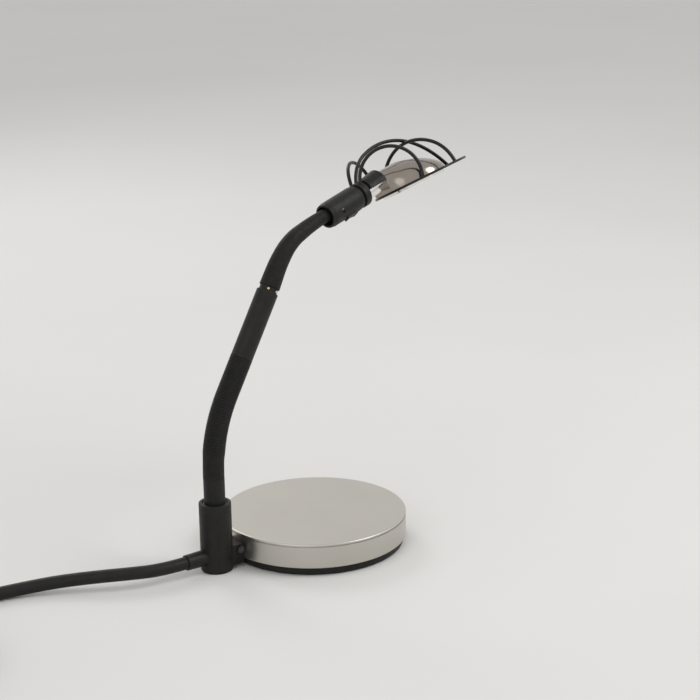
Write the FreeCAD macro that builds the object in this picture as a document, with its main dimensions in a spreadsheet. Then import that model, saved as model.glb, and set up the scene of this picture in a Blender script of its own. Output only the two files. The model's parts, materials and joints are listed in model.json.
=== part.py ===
import FreeCAD, Part
import math
import os
import Sketcher
from FreeCAD import Placement, Rotation, Vector

# Gooseneck desk lamp, millimetres. The origin is on the table under the middle of the round base,
# +Z is up, and +X runs from the upright sleeve to the middle of the base.

DRIVING_SIZES = {
    # round base
    "base_radius": 60.0,
    "base_wall_thickness": 1.8,
    "base_wall_top": 19.6,
    "base_flange_width": 0.7,
    "base_flange_thickness": 1.2,
    "foot_shoulder": 0.5,
    "foot_top": 5.5,
    "foot_floor": 1.6,
    "foot_wall": 2.0,
    "foot_spigot_height": 2.5,
    "pad_height": 1.0,
    "mat_inset": 1.5,
    "lid_thickness": 1.4,
    "lid_seam": 0.5,
    "lid_seam_depth": 0.7,
    "lid_spigot_height": 3.0,
    "lid_spigot_wall": 2.0,
    "lid_edge_round": 0.8,
    "slide_clearance": 0.1,
    # what the base holds
    "ballast_gap": 1.4,
    "ballast_width": 22.0,
    "ballast_height": 9.3,
    "transformer_gap": 2.0,
    "transformer_height": 15.0,
    "terminal_length": 18.0,
    "terminal_width": 9.0,
    "terminal_height": 6.0,
    "base_screw_radius": 1.5,
    "base_screw_head_radius": 3.0,
    "base_screw_head_height": 0.9,
    "base_screw_length": 7.0,
    # upright sleeve and the bracket that joins it to the base
    "bracket_gap": 5.35,
    "sleeve_radius": 10.25,
    "sleeve_bore_radius": 8.0,
    "sleeve_top": 45.5,
    "sleeve_edge_round": 0.6,
    "sleeve_foot_radius": 9.6,
    "sleeve_plug_height": 3.0,
    "bracket_width": 15.0,
    "bracket_bottom": 3.0,
    "bracket_top": 16.0,
    "tongue_width": 10.0,
    "tongue_thickness": 2.2,
    "tongue_reach": 24.0,
    "joint_root": 1.0,
    "tongue_screw_spread": 3.0,
    "bracket_screw_radius": 1.2,
    "bracket_screw_head_radius": 2.3,
    "bracket_screw_head_height": 1.2,
    "bracket_screw_length": 6.0,
    "side_screw_height": 12.6,
    # stem that turns in the sleeve
    "stem_radius": 6.75,
    "stem_bottom": 17.0,
    "stem_flange_radius": 7.7,
    "stem_flange_height": 1.5,
    "bush_wall": 1.15,
    "bush_bottom": 22.0,
    "running_clearance": 0.05,
    "clip_thickness": 1.2,
    "clip_groove_depth": 0.7,
    "moving_gap": 0.3,
    # lower gooseneck
    "stem_rise": 20.5,
    "hose_step": 9.0,
    "hose_radius": 7.15,
    "hose_groove_radius": 6.8,
    "hose_bore_radius": 3.0,
    "hose_last_length": 11.0,
    "ball_margin": 0.85,
    "ball_gap": 0.25,
    # centreline of the arm, measured along it from the table; it is upright to the first hinge
    "lower_bend_radius": 85.6,
    "lower_lean": 33.1,
    "upper_bend_lead": 2.35,
    "upper_bend_radius": 38.8,
    "upper_lean": 75.8,
    "arm_heading": 11.0,
    # middle sleeve and swivel collar
    "middle_radius": 7.0,
    "middle_bore_radius": 5.0,
    "middle_length": 45.3,
    "middle_edge_round": 0.5,
    "collar_width": 3.0,
    "collar_radius": 5.9,
    "collar_spigot_length": 9.0,
    "collar_pivot_radius": 4.0,
    # tapered boot over the upper gooseneck
    "boot_root_radius": 6.75,
    "boot_tip_radius": 4.35,
    "boot_bore_radius": 2.4,
    "boot_root_length": 18.9,
    "boot_step": 8.5,
    "boot_tip_length": 21.9,
    "boot_flange_thickness": 1.9,
    # barrel with the switch
    "barrel_length": 30.3,
    "barrel_radius": 8.5,
    "barrel_mouth_radius": 7.9,
    "barrel_nose_radius": 8.0,
    "barrel_cup_radius": 6.7,
    "barrel_cup_depth": 5.5,
    "barrel_web": 1.5,
    "barrel_cavity_radius": 5.7,
    "barrel_nose_length": 5.1,
    "barrel_mouth_taper": 3.0,
    "barrel_nose_taper": 4.0,
    "barrel_edge_round": 0.8,
    "barrel_screw_radius": 0.8,
    "barrel_screw_head_radius": 1.3,
    "barrel_screw_spread": 6.9,
    "barrel_screw_place": 9.0,
    "barrel_screw_head_height": 1.2,
    "barrel_screw_depth": 3.5,
    "barrel_screw_seat": 3.0,
    "switch_turn": 42.0,
    "switch_front_gap": 4.0,
    "switch_back_gap": 0.7,
    "switch_pivot_height": 6.9,
    "switch_pin_radius": 0.6,
    "switch_pin_length": 7.8,
    "rocker_length": 8.8,
    "rocker_width": 5.2,
    "rocker_tilt": 6.0,
    "rocker_crown": 2.6,
    "rocker_valley": 1.9,
    "rocker_edge_depth": 0.6,
    "rocker_keel_depth": 1.7,
    "rocker_keel_half": 1.5,
    "switch_body_height": 6.8,
    "switch_body_top": 2.6,
    "switch_body_width": 7.6,
    # neck and head
    "neck_radius": 5.8,
    "neck_length": 27.7,
    "neck_overlap": 3.8,
    "neck_wall": 1.3,
    "neck_spigot_radius": 4.8,
    "neck_flange_radius": 5.4,
    "neck_flange_thickness": 1.4,
    "head_roll": 27.0,
    "head_tilt": 4.7,
    "head_drop": 7.45,
    "plate_radius": 33.5,
    "plate_thickness": 1.6,
    "plate_edge_round": 0.5,
    "light_opening_radius": 20.0,
    "light_opening_offset": 8.0,
    "lens_thickness": 1.2,
    "lens_overlap": 1.2,
    "lens_ring_width": 3.4,
    "lens_ring_lip": 0.9,
    "lens_ring_wall": 1.6,
    "lens_ring_round": 0.5,
    "shell_wall": 1.0,
    "shell_web": 0.7,
    "shell_overhang": 1.5,
    "shell_length": 49.5,
    "shell_half_width": 24.5,
    "shell_height": 16.3,
    "holder_length": 5.0,
    "holder_width": 10.0,
    "holder_height": 7.0,
    "capsule_radius": 4.4,
    "capsule_length": 17.8,
    "capsule_height": 6.8,
    "capsule_stem_radius": 3.0,
    "capsule_stem_length": 4.0,
    "capsule_shoulder": 1.6,
    "capsule_tip_length": 3.2,
    "capsule_tip_point": 0.6,
    "capsule_round": 1.0,
    # wire guard over the head
    "wire_radius": 1.2,
    "wire_inset": 2.0,
    "wire_foot_depth": 1.0,
    "guard_collar_radius": 8.4,
    "guard_collar_start": 1.5,
    "guard_collar_width": 5.0,
    "guard_collar_round": 0.6,
    "cowl_start": 8.5,
    "cowl_gap": 1.7,
    "cowl_radius": 8.2,
    "cowl_flare": 1.4,
    "spine_root_rise": 5.0,
    "spine_height": 32.6,
    "hoop_height": 25.8,
    "hoop_near_angle": -78.0,
    "hoop_far_angle": 96.0,
    "side_hoop_height": 29.6,
    "side_hoop_angle": 130.0,
    "side_hoop_root": 4.5,
    # mains cord
    "cord_radius": 4.1,
    "cord_length": 1800.0,
    "cord_lift": 0.05,
    "relief_height": 10.0,
    "relief_reach": 22.8,
    "relief_inside": 2.5,
    "relief_radius": 5.4,
    "relief_tip_radius": 4.9,
    "relief_neck_radius": 4.4,
    "coil_turns_in_layer": 2.75,
    "coil_turn_gap": 0.7,
    "coil_dip": 3.0,
    "plug_half_width": 18.0,
    "plug_body_length": 34.0,
    "plug_tail_radius": 4.7,
    "plug_tail_length": 24.0,
    "plug_tail_flare": 1.1,
    "plug_shoulder_inset": 2.0,
    "plug_shoulder_length": 12.0,
    "plug_shoulder_taper": 6.0,
    "plug_edge_round": 1.5,
    "pin_radius": 2.4,
    "pin_length": 19.0,
    "pin_spacing": 19.0,
}

doc = FreeCAD.newDocument("desk_lamp")
sheet = doc.addObject("Spreadsheet::Sheet", "sizes")
for row, (alias, value) in enumerate(DRIVING_SIZES.items(), start=1):
    sheet.set(f"A{row}", alias)
    sheet.set(f"B{row}", repr(value))
    sheet.setAlias(f"B{row}", alias)
doc.recompute()


class Size:
    """A number together with the formula that gives it from the sheet."""

    def __init__(self, value, formula):
        self.value = value
        self.formula = formula

    def __float__(self):
        return float(self.value)

    def __add__(self, other):
        return Size(self.value + float(other), f"({self.formula} + {formula_of(other)})")

    def __radd__(self, other):
        return Size(float(other) + self.value, f"({formula_of(other)} + {self.formula})")

    def __sub__(self, other):
        return Size(self.value - float(other), f"({self.formula} - {formula_of(other)})")

    def __rsub__(self, other):
        return Size(float(other) - self.value, f"({formula_of(other)} - {self.formula})")

    def __mul__(self, other):
        return Size(self.value * float(other), f"({self.formula} * {formula_of(other)})")

    def __rmul__(self, other):
        return self * other

    def __truediv__(self, other):
        return Size(self.value / float(other), f"({self.formula} / {formula_of(other)})")

    def __neg__(self):
        return Size(-self.value, f"(0 - {self.formula})")


def formula_of(number):
    return number.formula if isinstance(number, Size) else f"{float(number):.6f}"


class Sheet:
    """The cells of the sheet by name, as numbers or as sizes with their formula."""

    def __init__(self, as_numbers):
        self.as_numbers = as_numbers

    def __getattr__(self, alias):
        value = float(sheet.get(alias))
        return value if self.as_numbers else Size(value, f"sizes.{alias}")


mm = Sheet(True)
size = Sheet(False)
parts = {}


def keep(label, item, placement=None):
    """Names an object as a sub-part of the lamp, and sets it in its place."""
    if placement is not None and item.TypeId in ("Part::Box", "Part::Cylinder"):
        item = group(item)
    item.Label = label
    if placement is not None:
        item.Placement = placement
    parts[label] = item
    return item


def set_size(item, name, number):
    setattr(item, name, float(number))
    if isinstance(number, Size):
        item.setExpression(name, number.formula)


def set_base(item, x=0, y=0, z=0):
    item.Placement.Base = Vector(float(x), float(y), float(z))
    for axis, number in (("x", x), ("y", y), ("z", z)):
        if isinstance(number, Size):
            item.setExpression(f".Placement.Base.{axis}", number.formula)


def cylinder(radius, height, x=0, y=0, z=0, direction=None):
    item = doc.addObject("Part::Cylinder", "cylinder")
    set_size(item, "Radius", radius)
    set_size(item, "Height", height)
    if direction is not None:
        item.Placement.Rotation = Rotation(Vector(0, 0, 1), direction)
    set_base(item, x, y, z)
    return item


def block(length, width, height, x, y, z):
    """Box from its lowest corner."""
    item = doc.addObject("Part::Box", "block")
    set_size(item, "Length", length)
    set_size(item, "Width", width)
    set_size(item, "Height", height)
    set_base(item, x, y, z)
    return item


def middle_block(length, width, height, x, y, z):
    """Box from the middle of its underside."""
    return block(length, width, height, x - length / 2, y - width / 2, z)


def cut(base, *tools):
    item = doc.addObject("Part::Cut", "cut")
    item.Base = base
    item.Tool = tools[0] if len(tools) == 1 else joined(*tools)
    return item


def common(first, second):
    item = doc.addObject("Part::Common", "common")
    item.Base = first
    item.Tool = second
    return item


def joined(*items):
    item = doc.addObject("Part::MultiFuse", "joined")
    item.Shapes = list(items)
    return item


def group(*items):
    item = doc.addObject("Part::Compound", "group")
    item.Links = list(items)
    return item


def shaped(shape):
    item = doc.addObject("Part::Feature", "shaped")
    item.Shape = shape
    return item


def origin_feature(body, role):
    return next(item for item in body.Origin.OriginFeatures if item.Role == role)


def turned(label, outline, rounds=()):
    """Body of revolution about Z through (radius, height) corners, with named edges rounded."""
    body = doc.addObject("PartDesign::Body", label + "_turned")
    sketch = body.newObject("Sketcher::SketchObject", label + "_outline")
    sketch.AttachmentSupport = [(origin_feature(body, "XZ_Plane"), "")]
    sketch.MapMode = "FlatFace"
    count = len(outline)
    points = [Vector(float(radius), float(height), 0) for radius, height in outline]
    for index in range(count):
        sketch.addGeometry(Part.LineSegment(points[index], points[(index + 1) % count]), False)
    for index in range(count):
        sketch.addConstraint(Sketcher.Constraint("Coincident", index, 2, (index + 1) % count, 1))
    for index, corner in enumerate(outline):
        for kind, axis, number in (("DistanceX", -2, corner[0]), ("DistanceY", -1, corner[1])):
            if float(number) == 0:
                sketch.addConstraint(Sketcher.Constraint("PointOnObject", index, 1, axis))
                continue
            rule = Sketcher.Constraint(kind, -1, 1, index, 1, float(number))
            place = sketch.addConstraint(rule)
            if isinstance(number, Size):
                sketch.setExpression(f"Constraints[{place}]", number.formula)
    solid = body.newObject("PartDesign::Revolution", label + "_revolution")
    solid.Profile = sketch
    solid.ReferenceAxis = (origin_feature(body, "Z_Axis"), [""])
    solid.Angle = 360
    doc.recompute()
    for radius, height, rounding in rounds:
        edges = [f"Edge{number}" for number, edge in enumerate(body.Shape.Edges, start=1)
                 if is_rim(edge, float(radius), float(height))]
        sharp = body.Tip
        fillet = body.newObject("PartDesign::Fillet", label + "_round")
        fillet.Base = (sharp, edges)
        set_size(fillet, "Radius", rounding)
        doc.recompute()
    return body


def is_rim(edge, radius, height):
    if not isinstance(edge.Curve, Part.Circle):
        return False
    return abs(edge.Curve.Radius - radius) < 1e-4 and abs(edge.Curve.Center.z - height) < 1e-4


def frame_at(origin, z_direction, x_direction):
    """Placement with its own Z and X along two directions, the second as near as it can be."""
    z = Vector(z_direction).normalize()
    y = z.cross(x_direction).normalize()
    return Placement(origin, Rotation(y.cross(z), y, z, "ZXY"))


UP = Vector(0, 0, 1)
ORIGIN = Vector(0, 0, 0)
FAR = 200.0
sleeve_offset = size.base_radius + size.bracket_gap + size.sleeve_radius
SLEEVE = Vector(-float(sleeve_offset), 0, 0)
heading = math.radians(mm.arm_heading)
FORWARD = Vector(math.cos(heading), math.sin(heading), 0)
LEFT = Vector(-math.sin(heading), math.cos(heading), 0)


# Round base

floor_top = size.pad_height + size.foot_floor
wall_bore = size.base_radius - size.base_wall_thickness
flange_bore = wall_bore - size.base_flange_width
foot_radius = flange_bore + size.foot_shoulder
spigot_radius = flange_bore - size.slide_clearance
foot_inner = spigot_radius - size.foot_wall
ballast_outer = foot_inner - size.ballast_gap
ballast_inner = ballast_outer - size.ballast_width
ballast_middle = ballast_inner + size.ballast_width / 2


def polar(radius, turn):
    """Both coordinates of a point on a circle, tied to its radius."""
    return radius * math.cos(math.radians(turn)), radius * math.sin(math.radians(turn))


BASE_SCREW_TURNS = [45.0, 135.0, 225.0, 315.0]


def base_screw_tools(radius, height, bottom):
    """One cylinder at each screw of the base."""
    return [cylinder(radius, height, *polar(ballast_middle, turn), bottom) for turn in BASE_SCREW_TURNS]


def make_foot_mat():
    """Rubber sheet under the whole base, which also hides the screws."""
    keep("foot_mat", cylinder(foot_radius - size.mat_inset, size.pad_height))


def make_foot_cover():
    spigot_top = size.foot_top + size.foot_spigot_height
    dish = turned("foot_cover", [
        (0, size.pad_height), (foot_radius, size.pad_height), (foot_radius, size.foot_top),
        (spigot_radius, size.foot_top), (spigot_radius, spigot_top), (foot_inner, spigot_top),
        (foot_inner, floor_top), (0, floor_top)])
    holes = base_screw_tools(size.base_screw_radius + size.slide_clearance, size.foot_top, 0)
    head_radius = size.base_screw_head_radius + size.slide_clearance
    heads = base_screw_tools(head_radius, size.pad_height + size.base_screw_head_height, 0)
    keep("foot_cover", cut(dish, *holes, *heads))


def make_base_wall():
    flange_top = size.foot_top + size.base_flange_thickness
    ring = turned("base_wall", [
        (flange_bore, size.foot_top), (size.base_radius, size.foot_top),
        (size.base_radius, size.base_wall_top), (wall_bore, size.base_wall_top),
        (wall_bore, flange_top), (flange_bore, flange_top)],
        rounds=[(size.base_radius, size.foot_top, size.base_flange_thickness / 2)])
    slot_width = size.tongue_width + 2 * size.slide_clearance
    slot_height = size.tongue_thickness + 2 * size.slide_clearance
    slot = middle_block(size.base_wall_thickness * 4, slot_width, slot_height,
                        -size.base_radius, 0, tongue_bottom - size.slide_clearance)
    keep("base_wall", cut(ring, slot))


def make_base_lid():
    spigot = wall_bore - size.slide_clearance
    spigot_inner = spigot - size.lid_spigot_wall
    seam_radius = size.base_radius - size.lid_seam_depth
    seam_top = size.base_wall_top + size.lid_seam
    top = seam_top + size.lid_thickness
    spigot_bottom = size.base_wall_top - size.lid_spigot_height
    keep("base_lid", turned("base_lid", [
        (0, size.base_wall_top), (spigot_inner, size.base_wall_top), (spigot_inner, spigot_bottom),
        (spigot, spigot_bottom), (spigot, size.base_wall_top), (seam_radius, size.base_wall_top),
        (seam_radius, seam_top), (size.base_radius, seam_top), (size.base_radius, top), (0, top)],
        rounds=[(size.base_radius, top, size.lid_edge_round)]))


def make_ballast():
    top = floor_top + size.ballast_height
    ring = turned("ballast", [
        (ballast_inner, floor_top), (ballast_outer, floor_top), (ballast_outer, top),
        (ballast_inner, top)])
    holes = base_screw_tools(size.base_screw_radius, size.base_screw_length, size.pad_height)
    keep("ballast", cut(ring, *holes, *tongue_screw_shanks()))


def make_base_screws():
    bottom = size.pad_height
    shanks = base_screw_tools(size.base_screw_radius, size.base_screw_length, bottom)
    heads = base_screw_tools(size.base_screw_head_radius, size.base_screw_head_height, bottom)
    screws = [joined(shank, head) for shank, head in zip(shanks, heads)]
    keep("base_screws", group(*screws))


def make_transformer_and_terminals():
    transformer_radius = ballast_inner - size.transformer_gap
    keep("transformer_case", cylinder(transformer_radius, size.transformer_height, 0, 0, floor_top))
    keep("terminal_block", middle_block(size.terminal_length, size.terminal_width,
                                        size.terminal_height, ballast_middle, 0,
                                        floor_top + size.ballast_height))


# Bracket, sleeve and the bush in it

tongue_bottom = size.pad_height + size.foot_floor + size.ballast_height
tongue_top = tongue_bottom + size.tongue_thickness
tongue_screw_x = -(wall_bore - size.tongue_reach / 2)


def tongue_screw_shanks():
    length = size.bracket_screw_length
    return [cylinder(size.bracket_screw_radius, length, tongue_screw_x, side * size.tongue_screw_spread,
                     tongue_top - length) for side in (-1, 1)]


def make_bracket():
    depth = sleeve_offset - wall_bore
    bridge = block(depth, size.bracket_width, size.bracket_top - size.bracket_bottom,
                   -sleeve_offset, -size.bracket_width / 2, size.bracket_bottom)
    against_base = cylinder(size.base_radius, FAR)
    against_sleeve = cylinder(size.sleeve_radius, FAR, -sleeve_offset)
    bridge = cut(bridge, against_base, against_sleeve)
    root = size.base_radius + size.joint_root
    tongue = block(size.tongue_reach + size.joint_root, size.tongue_width, size.tongue_thickness,
                   -root, -size.tongue_width / 2, tongue_bottom)
    keep("bracket_arm", cut(joined(bridge, tongue), *tongue_screw_shanks(), side_screw_shank()))


side_screw_x = -(size.base_radius + size.bracket_gap / 2)


def side_screw_shank():
    return cylinder(size.bracket_screw_radius, size.bracket_screw_length, side_screw_x,
                    -size.bracket_width / 2, size.side_screw_height, Vector(0, 1, 0))


def make_bracket_screws():
    screws = []
    for side, shank in zip((-1, 1), tongue_screw_shanks()):
        head = cylinder(size.bracket_screw_head_radius, size.bracket_screw_head_height,
                        tongue_screw_x, side * size.tongue_screw_spread, tongue_top)
        screws.append(joined(shank, head))
    side_head = cylinder(size.bracket_screw_head_radius, size.bracket_screw_head_height,
                         side_screw_x, -size.bracket_width / 2, size.side_screw_height,
                         Vector(0, -1, 0))
    screws.append(joined(side_screw_shank(), side_head))
    keep("bracket_screws", group(*screws))


def make_sleeve():
    tube = turned("sleeve", [
        (size.sleeve_bore_radius, size.pad_height), (size.sleeve_radius, size.pad_height),
        (size.sleeve_radius, size.sleeve_top), (size.sleeve_bore_radius, size.sleeve_top)],
        rounds=[(size.sleeve_radius, size.sleeve_top, size.sleeve_edge_round)])
    hole = cylinder(size.relief_neck_radius + size.slide_clearance, 2 * size.sleeve_radius,
                    0, 0, size.relief_height, Vector(-1, 0, 0))
    keep("sleeve", cut(tube, hole), Placement(SLEEVE, Rotation()))


def make_sleeve_foot():
    plug_radius = size.sleeve_bore_radius - size.slide_clearance
    plug_top = size.pad_height + size.sleeve_plug_height
    foot = turned("sleeve_foot", [
        (0, 0), (size.sleeve_foot_radius, 0), (size.sleeve_foot_radius, size.pad_height),
        (plug_radius, size.pad_height), (plug_radius, plug_top), (0, plug_top)])
    keep("sleeve_foot", foot, Placement(SLEEVE, Rotation()))


bush_bore = size.stem_radius + size.running_clearance
bush_top = size.sleeve_top - size.stem_flange_height - 2 * size.moving_gap


def make_stem_bush():
    outer = bush_bore + size.bush_wall
    bush = turned("stem_bush", [
        (bush_bore, size.bush_bottom), (outer, size.bush_bottom), (outer, bush_top),
        (bush_bore, bush_top)])
    keep("stem_bush", bush, Placement(SLEEVE, Rotation()))


clip_top = size.bush_bottom - size.moving_gap
clip_bottom = clip_top - size.clip_thickness


def make_stem_clip():
    inner = size.stem_radius - size.clip_groove_depth + size.running_clearance
    outer = size.sleeve_bore_radius - size.moving_gap
    ring = turned("stem_clip", [
        (inner, clip_bottom), (outer, clip_bottom), (outer, clip_top), (inner, clip_top)])
    keep("stem_clip", ring, Placement(SLEEVE, Rotation()))


# Places along the arm's centreline, measured from the table

HOSE_SEGMENTS = 8
BOOT_HINGES = 4
first_hinge = mm.sleeve_top + mm.stem_rise
hose_hinges = [first_hinge + mm.hose_step * number for number in range(HOSE_SEGMENTS)]
hose_end = hose_hinges[-1] + mm.hose_last_length
middle_end = hose_end + mm.middle_length
boot_start = middle_end + mm.collar_width + mm.moving_gap
boot_first_hinge = boot_start + mm.boot_root_length
boot_hinges = [boot_first_hinge + mm.boot_step * number for number in range(BOOT_HINGES)]
barrel_start = boot_hinges[-1] + mm.boot_tip_length


def arm_at(run):
    """Point and direction of the arm's centreline, run millimetres along it from the table."""
    lower = math.radians(mm.lower_lean)
    upper = math.radians(mm.upper_lean)
    lower_bend_end = first_hinge + mm.lower_bend_radius * lower
    upper_bend_start = boot_first_hinge - mm.upper_bend_lead
    stretches = [
        (first_hinge, 0.0, None),
        (mm.lower_bend_radius * lower, 0.0, mm.lower_bend_radius),
        (upper_bend_start - lower_bend_end, lower, None),
        (mm.upper_bend_radius * (upper - lower), lower, mm.upper_bend_radius),
        (FAR, upper, None)]
    out = 0.0
    height = 0.0
    for length, lean, radius in stretches:
        step = min(run, length)
        if radius is None:
            turn = lean
            out += step * math.sin(lean)
            height += step * math.cos(lean)
        else:
            turn = lean + step / radius
            out += radius * (math.cos(lean) - math.cos(turn))
            height += radius * (math.sin(turn) - math.sin(lean))
        run -= step
        if run <= 0:
            break
    point = SLEEVE + FORWARD * out + UP * height
    direction = FORWARD * math.sin(turn) + UP * math.cos(turn)
    return point, direction


def between(start, end):
    """Placement at one point of the arm with Z towards another, and the distance."""
    return frame_at(start, end - start, LEFT), (end - start).Length


# Gooseneck pieces: each ends in a ball about the hinge above it, and starts with a hollow seat
# about the hinge below it, so that neighbours clear each other at every bend

def circle(radius, height):
    return Part.Wire(Part.makeCircle(radius, Vector(0, 0, height), UP))


def column(rings):
    """Round solid through (height, radius) circles, straight from each to the next."""
    return Part.makeLoft([circle(radius, height) for height, radius in rings], True, True)


def ball_radius(radius):
    return radius + mm.ball_margin


def edge_height(ball, radius):
    """How far above a ball's centre a round column of this radius meets it."""
    return math.sqrt(ball * ball - radius * radius)


def with_ball(solid, length, radius):
    """Rounds off the top of a column that runs past the hinge at this length."""
    ball = ball_radius(radius)
    above = Part.makeCylinder(2 * ball, 3 * ball, Vector(0, 0, length))
    return solid.cut(above.cut(Part.makeSphere(ball, Vector(0, 0, length))))


def with_seat(solid, radius):
    """Hollows the foot of a column about the hinge at its origin."""
    return solid.cut(Part.makeSphere(ball_radius(radius) + mm.ball_gap, ORIGIN))


def with_bore(solid, radius, bottom, top):
    return solid.cut(Part.makeCylinder(radius, top - bottom, Vector(0, 0, bottom)))


RIBS_PER_STEP = 6
RIB_FORM = [(0.02, mm.hose_groove_radius), (0.3, mm.hose_radius), (0.7, mm.hose_radius),
            (0.98, mm.hose_groove_radius)]


def ribbed_rings(start, end):
    """Circles of the ribs between two heights, four to a rib."""
    count = max(1, round((end - start) * RIBS_PER_STEP / mm.hose_step))
    step = (end - start) / count
    return [(start + (number + share) * step, radius)
            for number in range(count) for share, radius in RIB_FORM]


def make_gooseneck_socket():
    top = first_hinge
    ball = ball_radius(mm.hose_radius)
    stem = Part.makeCylinder(mm.stem_radius, top + ball - mm.stem_bottom, Vector(0, 0, mm.stem_bottom))
    flange_bottom = float(bush_top) + mm.moving_gap
    flange = Part.makeCylinder(mm.stem_flange_radius, mm.stem_flange_height, Vector(0, 0, flange_bottom))
    stem = with_ball(stem.fuse(flange), top, mm.hose_radius)
    groove_radius = mm.stem_radius - mm.clip_groove_depth
    groove_height = mm.clip_thickness + 2 * mm.running_clearance
    groove_bottom = Vector(0, 0, float(clip_bottom) - mm.running_clearance)
    groove = Part.makeCylinder(mm.stem_flange_radius, groove_height, groove_bottom)
    groove = groove.cut(Part.makeCylinder(groove_radius, groove_height, groove_bottom))
    stem = with_bore(stem.cut(groove), mm.hose_bore_radius, 0, top + 2 * ball)
    keep("gooseneck_socket", shaped(stem), Placement(SLEEVE, Rotation()))


def make_hose_segments():
    """Ribbed segments of the lower gooseneck; the last one runs into the middle sleeve."""
    ball = ball_radius(mm.hose_radius)
    edge = edge_height(ball, mm.hose_groove_radius)
    start = edge_height(ball + mm.ball_gap, mm.hose_groove_radius)
    for number, run in enumerate(hose_hinges[:-1], start=1):
        place, length = between(arm_at(run)[0], arm_at(hose_hinges[number])[0])
        rings = [(0, mm.hose_groove_radius)] + ribbed_rings(start, length + edge)
        rings.append((length + 2 * ball, mm.hose_groove_radius))
        solid = with_seat(with_ball(column(rings), length, mm.hose_radius), mm.hose_radius)
        solid = with_bore(solid, mm.hose_bore_radius, -1, length + 2 * ball)
        keep(f"hose_segment_{number}", shaped(solid), place)
    place, length = between(arm_at(hose_hinges[-1])[0], arm_at(hose_end)[0])
    rings = [(0, mm.hose_groove_radius)] + ribbed_rings(start, length)
    rings.append((length, mm.hose_groove_radius))
    spigot_foot = length - mm.joint_root
    spigot = Part.makeCylinder(mm.middle_bore_radius - mm.running_clearance,
                               mm.hose_step + mm.joint_root, Vector(0, 0, spigot_foot))
    solid = with_seat(column(rings).fuse(spigot), mm.hose_radius)
    solid = with_bore(solid, mm.hose_bore_radius, -1, length + 2 * mm.hose_step)
    keep(f"hose_segment_{HOSE_SEGMENTS}", shaped(solid), place)


# Middle sleeve, swivel collar and the tapered boot

def make_middle_sleeve():
    place = between(arm_at(hose_end)[0], arm_at(middle_end)[0])[0]
    tube = turned("middle_sleeve", [
        (size.middle_bore_radius, 0), (size.middle_radius, 0),
        (size.middle_radius, size.middle_length), (size.middle_bore_radius, size.middle_length)],
        rounds=[(size.middle_radius, size.middle_length, size.middle_edge_round)])
    keep("middle_sleeve", tube, place)


def make_swivel_collar():
    place = frame_at(*arm_at(middle_end), LEFT)
    lower = size.middle_bore_radius - size.running_clearance
    pivot_top = size.collar_width + size.collar_spigot_length
    keep("swivel_collar", turned("swivel_collar", [
        (size.boot_bore_radius, -size.collar_spigot_length), (lower, -size.collar_spigot_length),
        (lower, 0), (size.collar_radius, 0), (size.collar_radius, size.collar_width),
        (size.collar_pivot_radius, size.collar_width), (size.collar_pivot_radius, pivot_top),
        (size.boot_bore_radius, pivot_top)]), place)


def boot_radius(run):
    """Radius of the boot, which narrows evenly from the collar to the barrel."""
    share = (run - boot_start) / (barrel_start - boot_start)
    return mm.boot_root_radius + share * (mm.boot_tip_radius - mm.boot_root_radius)


def make_boot_root():
    place, length = between(arm_at(boot_start)[0], arm_at(boot_hinges[0])[0])
    radius = boot_radius(boot_hinges[0])
    ball = ball_radius(radius)
    solid = column([(0, mm.boot_root_radius), (length, radius), (length + 2 * ball, radius)])
    solid = with_ball(solid, length, radius)
    pivot_depth = mm.collar_spigot_length + mm.moving_gap
    solid = with_bore(solid, mm.boot_bore_radius, 0, length + 2 * ball)
    solid = with_bore(solid, mm.collar_pivot_radius + mm.running_clearance, -1, pivot_depth)
    keep("boot_root", shaped(solid), place)


def make_boot_segments():
    for number in range(1, BOOT_HINGES):
        low = boot_hinges[number - 1]
        high = boot_hinges[number]
        place, length = between(arm_at(low)[0], arm_at(high)[0])
        ball = ball_radius(boot_radius(high))
        rings = [(0, boot_radius(low)), (length, boot_radius(high)),
                 (length + 2 * ball, boot_radius(high))]
        solid = with_seat(with_ball(column(rings), length, boot_radius(high)), boot_radius(low))
        solid = with_bore(solid, mm.boot_bore_radius, -1, length + 2 * ball)
        keep(f"boot_segment_{number}", shaped(solid), place)


def make_boot_tip():
    """Last stretch of the boot, which ends in a flange held inside the barrel."""
    low = boot_hinges[-1]
    mouth, direction = arm_at(barrel_start)
    place, length = between(arm_at(low)[0], mouth)
    inside = mm.barrel_cup_depth + mm.barrel_web + mm.running_clearance
    solid = column([(0, boot_radius(low)), (length, mm.boot_tip_radius)])
    local = place.inverse()
    end = local.multVec(mouth)
    along = local.Rotation.multVec(direction)
    thickness = mm.boot_flange_thickness
    neck = Part.makeCylinder(mm.boot_tip_radius, inside + thickness, end, along)
    flange = Part.makeCylinder(mm.neck_flange_radius, thickness, end + along * inside, along)
    solid = with_seat(solid.fuse([neck, flange]), boot_radius(low))
    solid = with_bore(solid, mm.boot_bore_radius, 0, FAR)
    keep("boot_tip", shaped(solid), place)


# Barrel with the switch

barrel_mouth, barrel_axis = arm_at(barrel_start)
barrel_end = arm_at(barrel_start + mm.barrel_length)[0]
neck_up = barrel_axis.cross(LEFT)
switch_side = (neck_up * -math.cos(math.radians(mm.switch_turn))
               - LEFT * math.sin(math.radians(mm.switch_turn)))
BARREL = frame_at(barrel_mouth, barrel_axis, switch_side)
NECK = frame_at(barrel_end, barrel_axis, LEFT)
nose_bore = size.neck_spigot_radius + size.running_clearance
web_top = size.barrel_cup_depth + size.barrel_web
nose = size.barrel_length - size.barrel_nose_length


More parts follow.
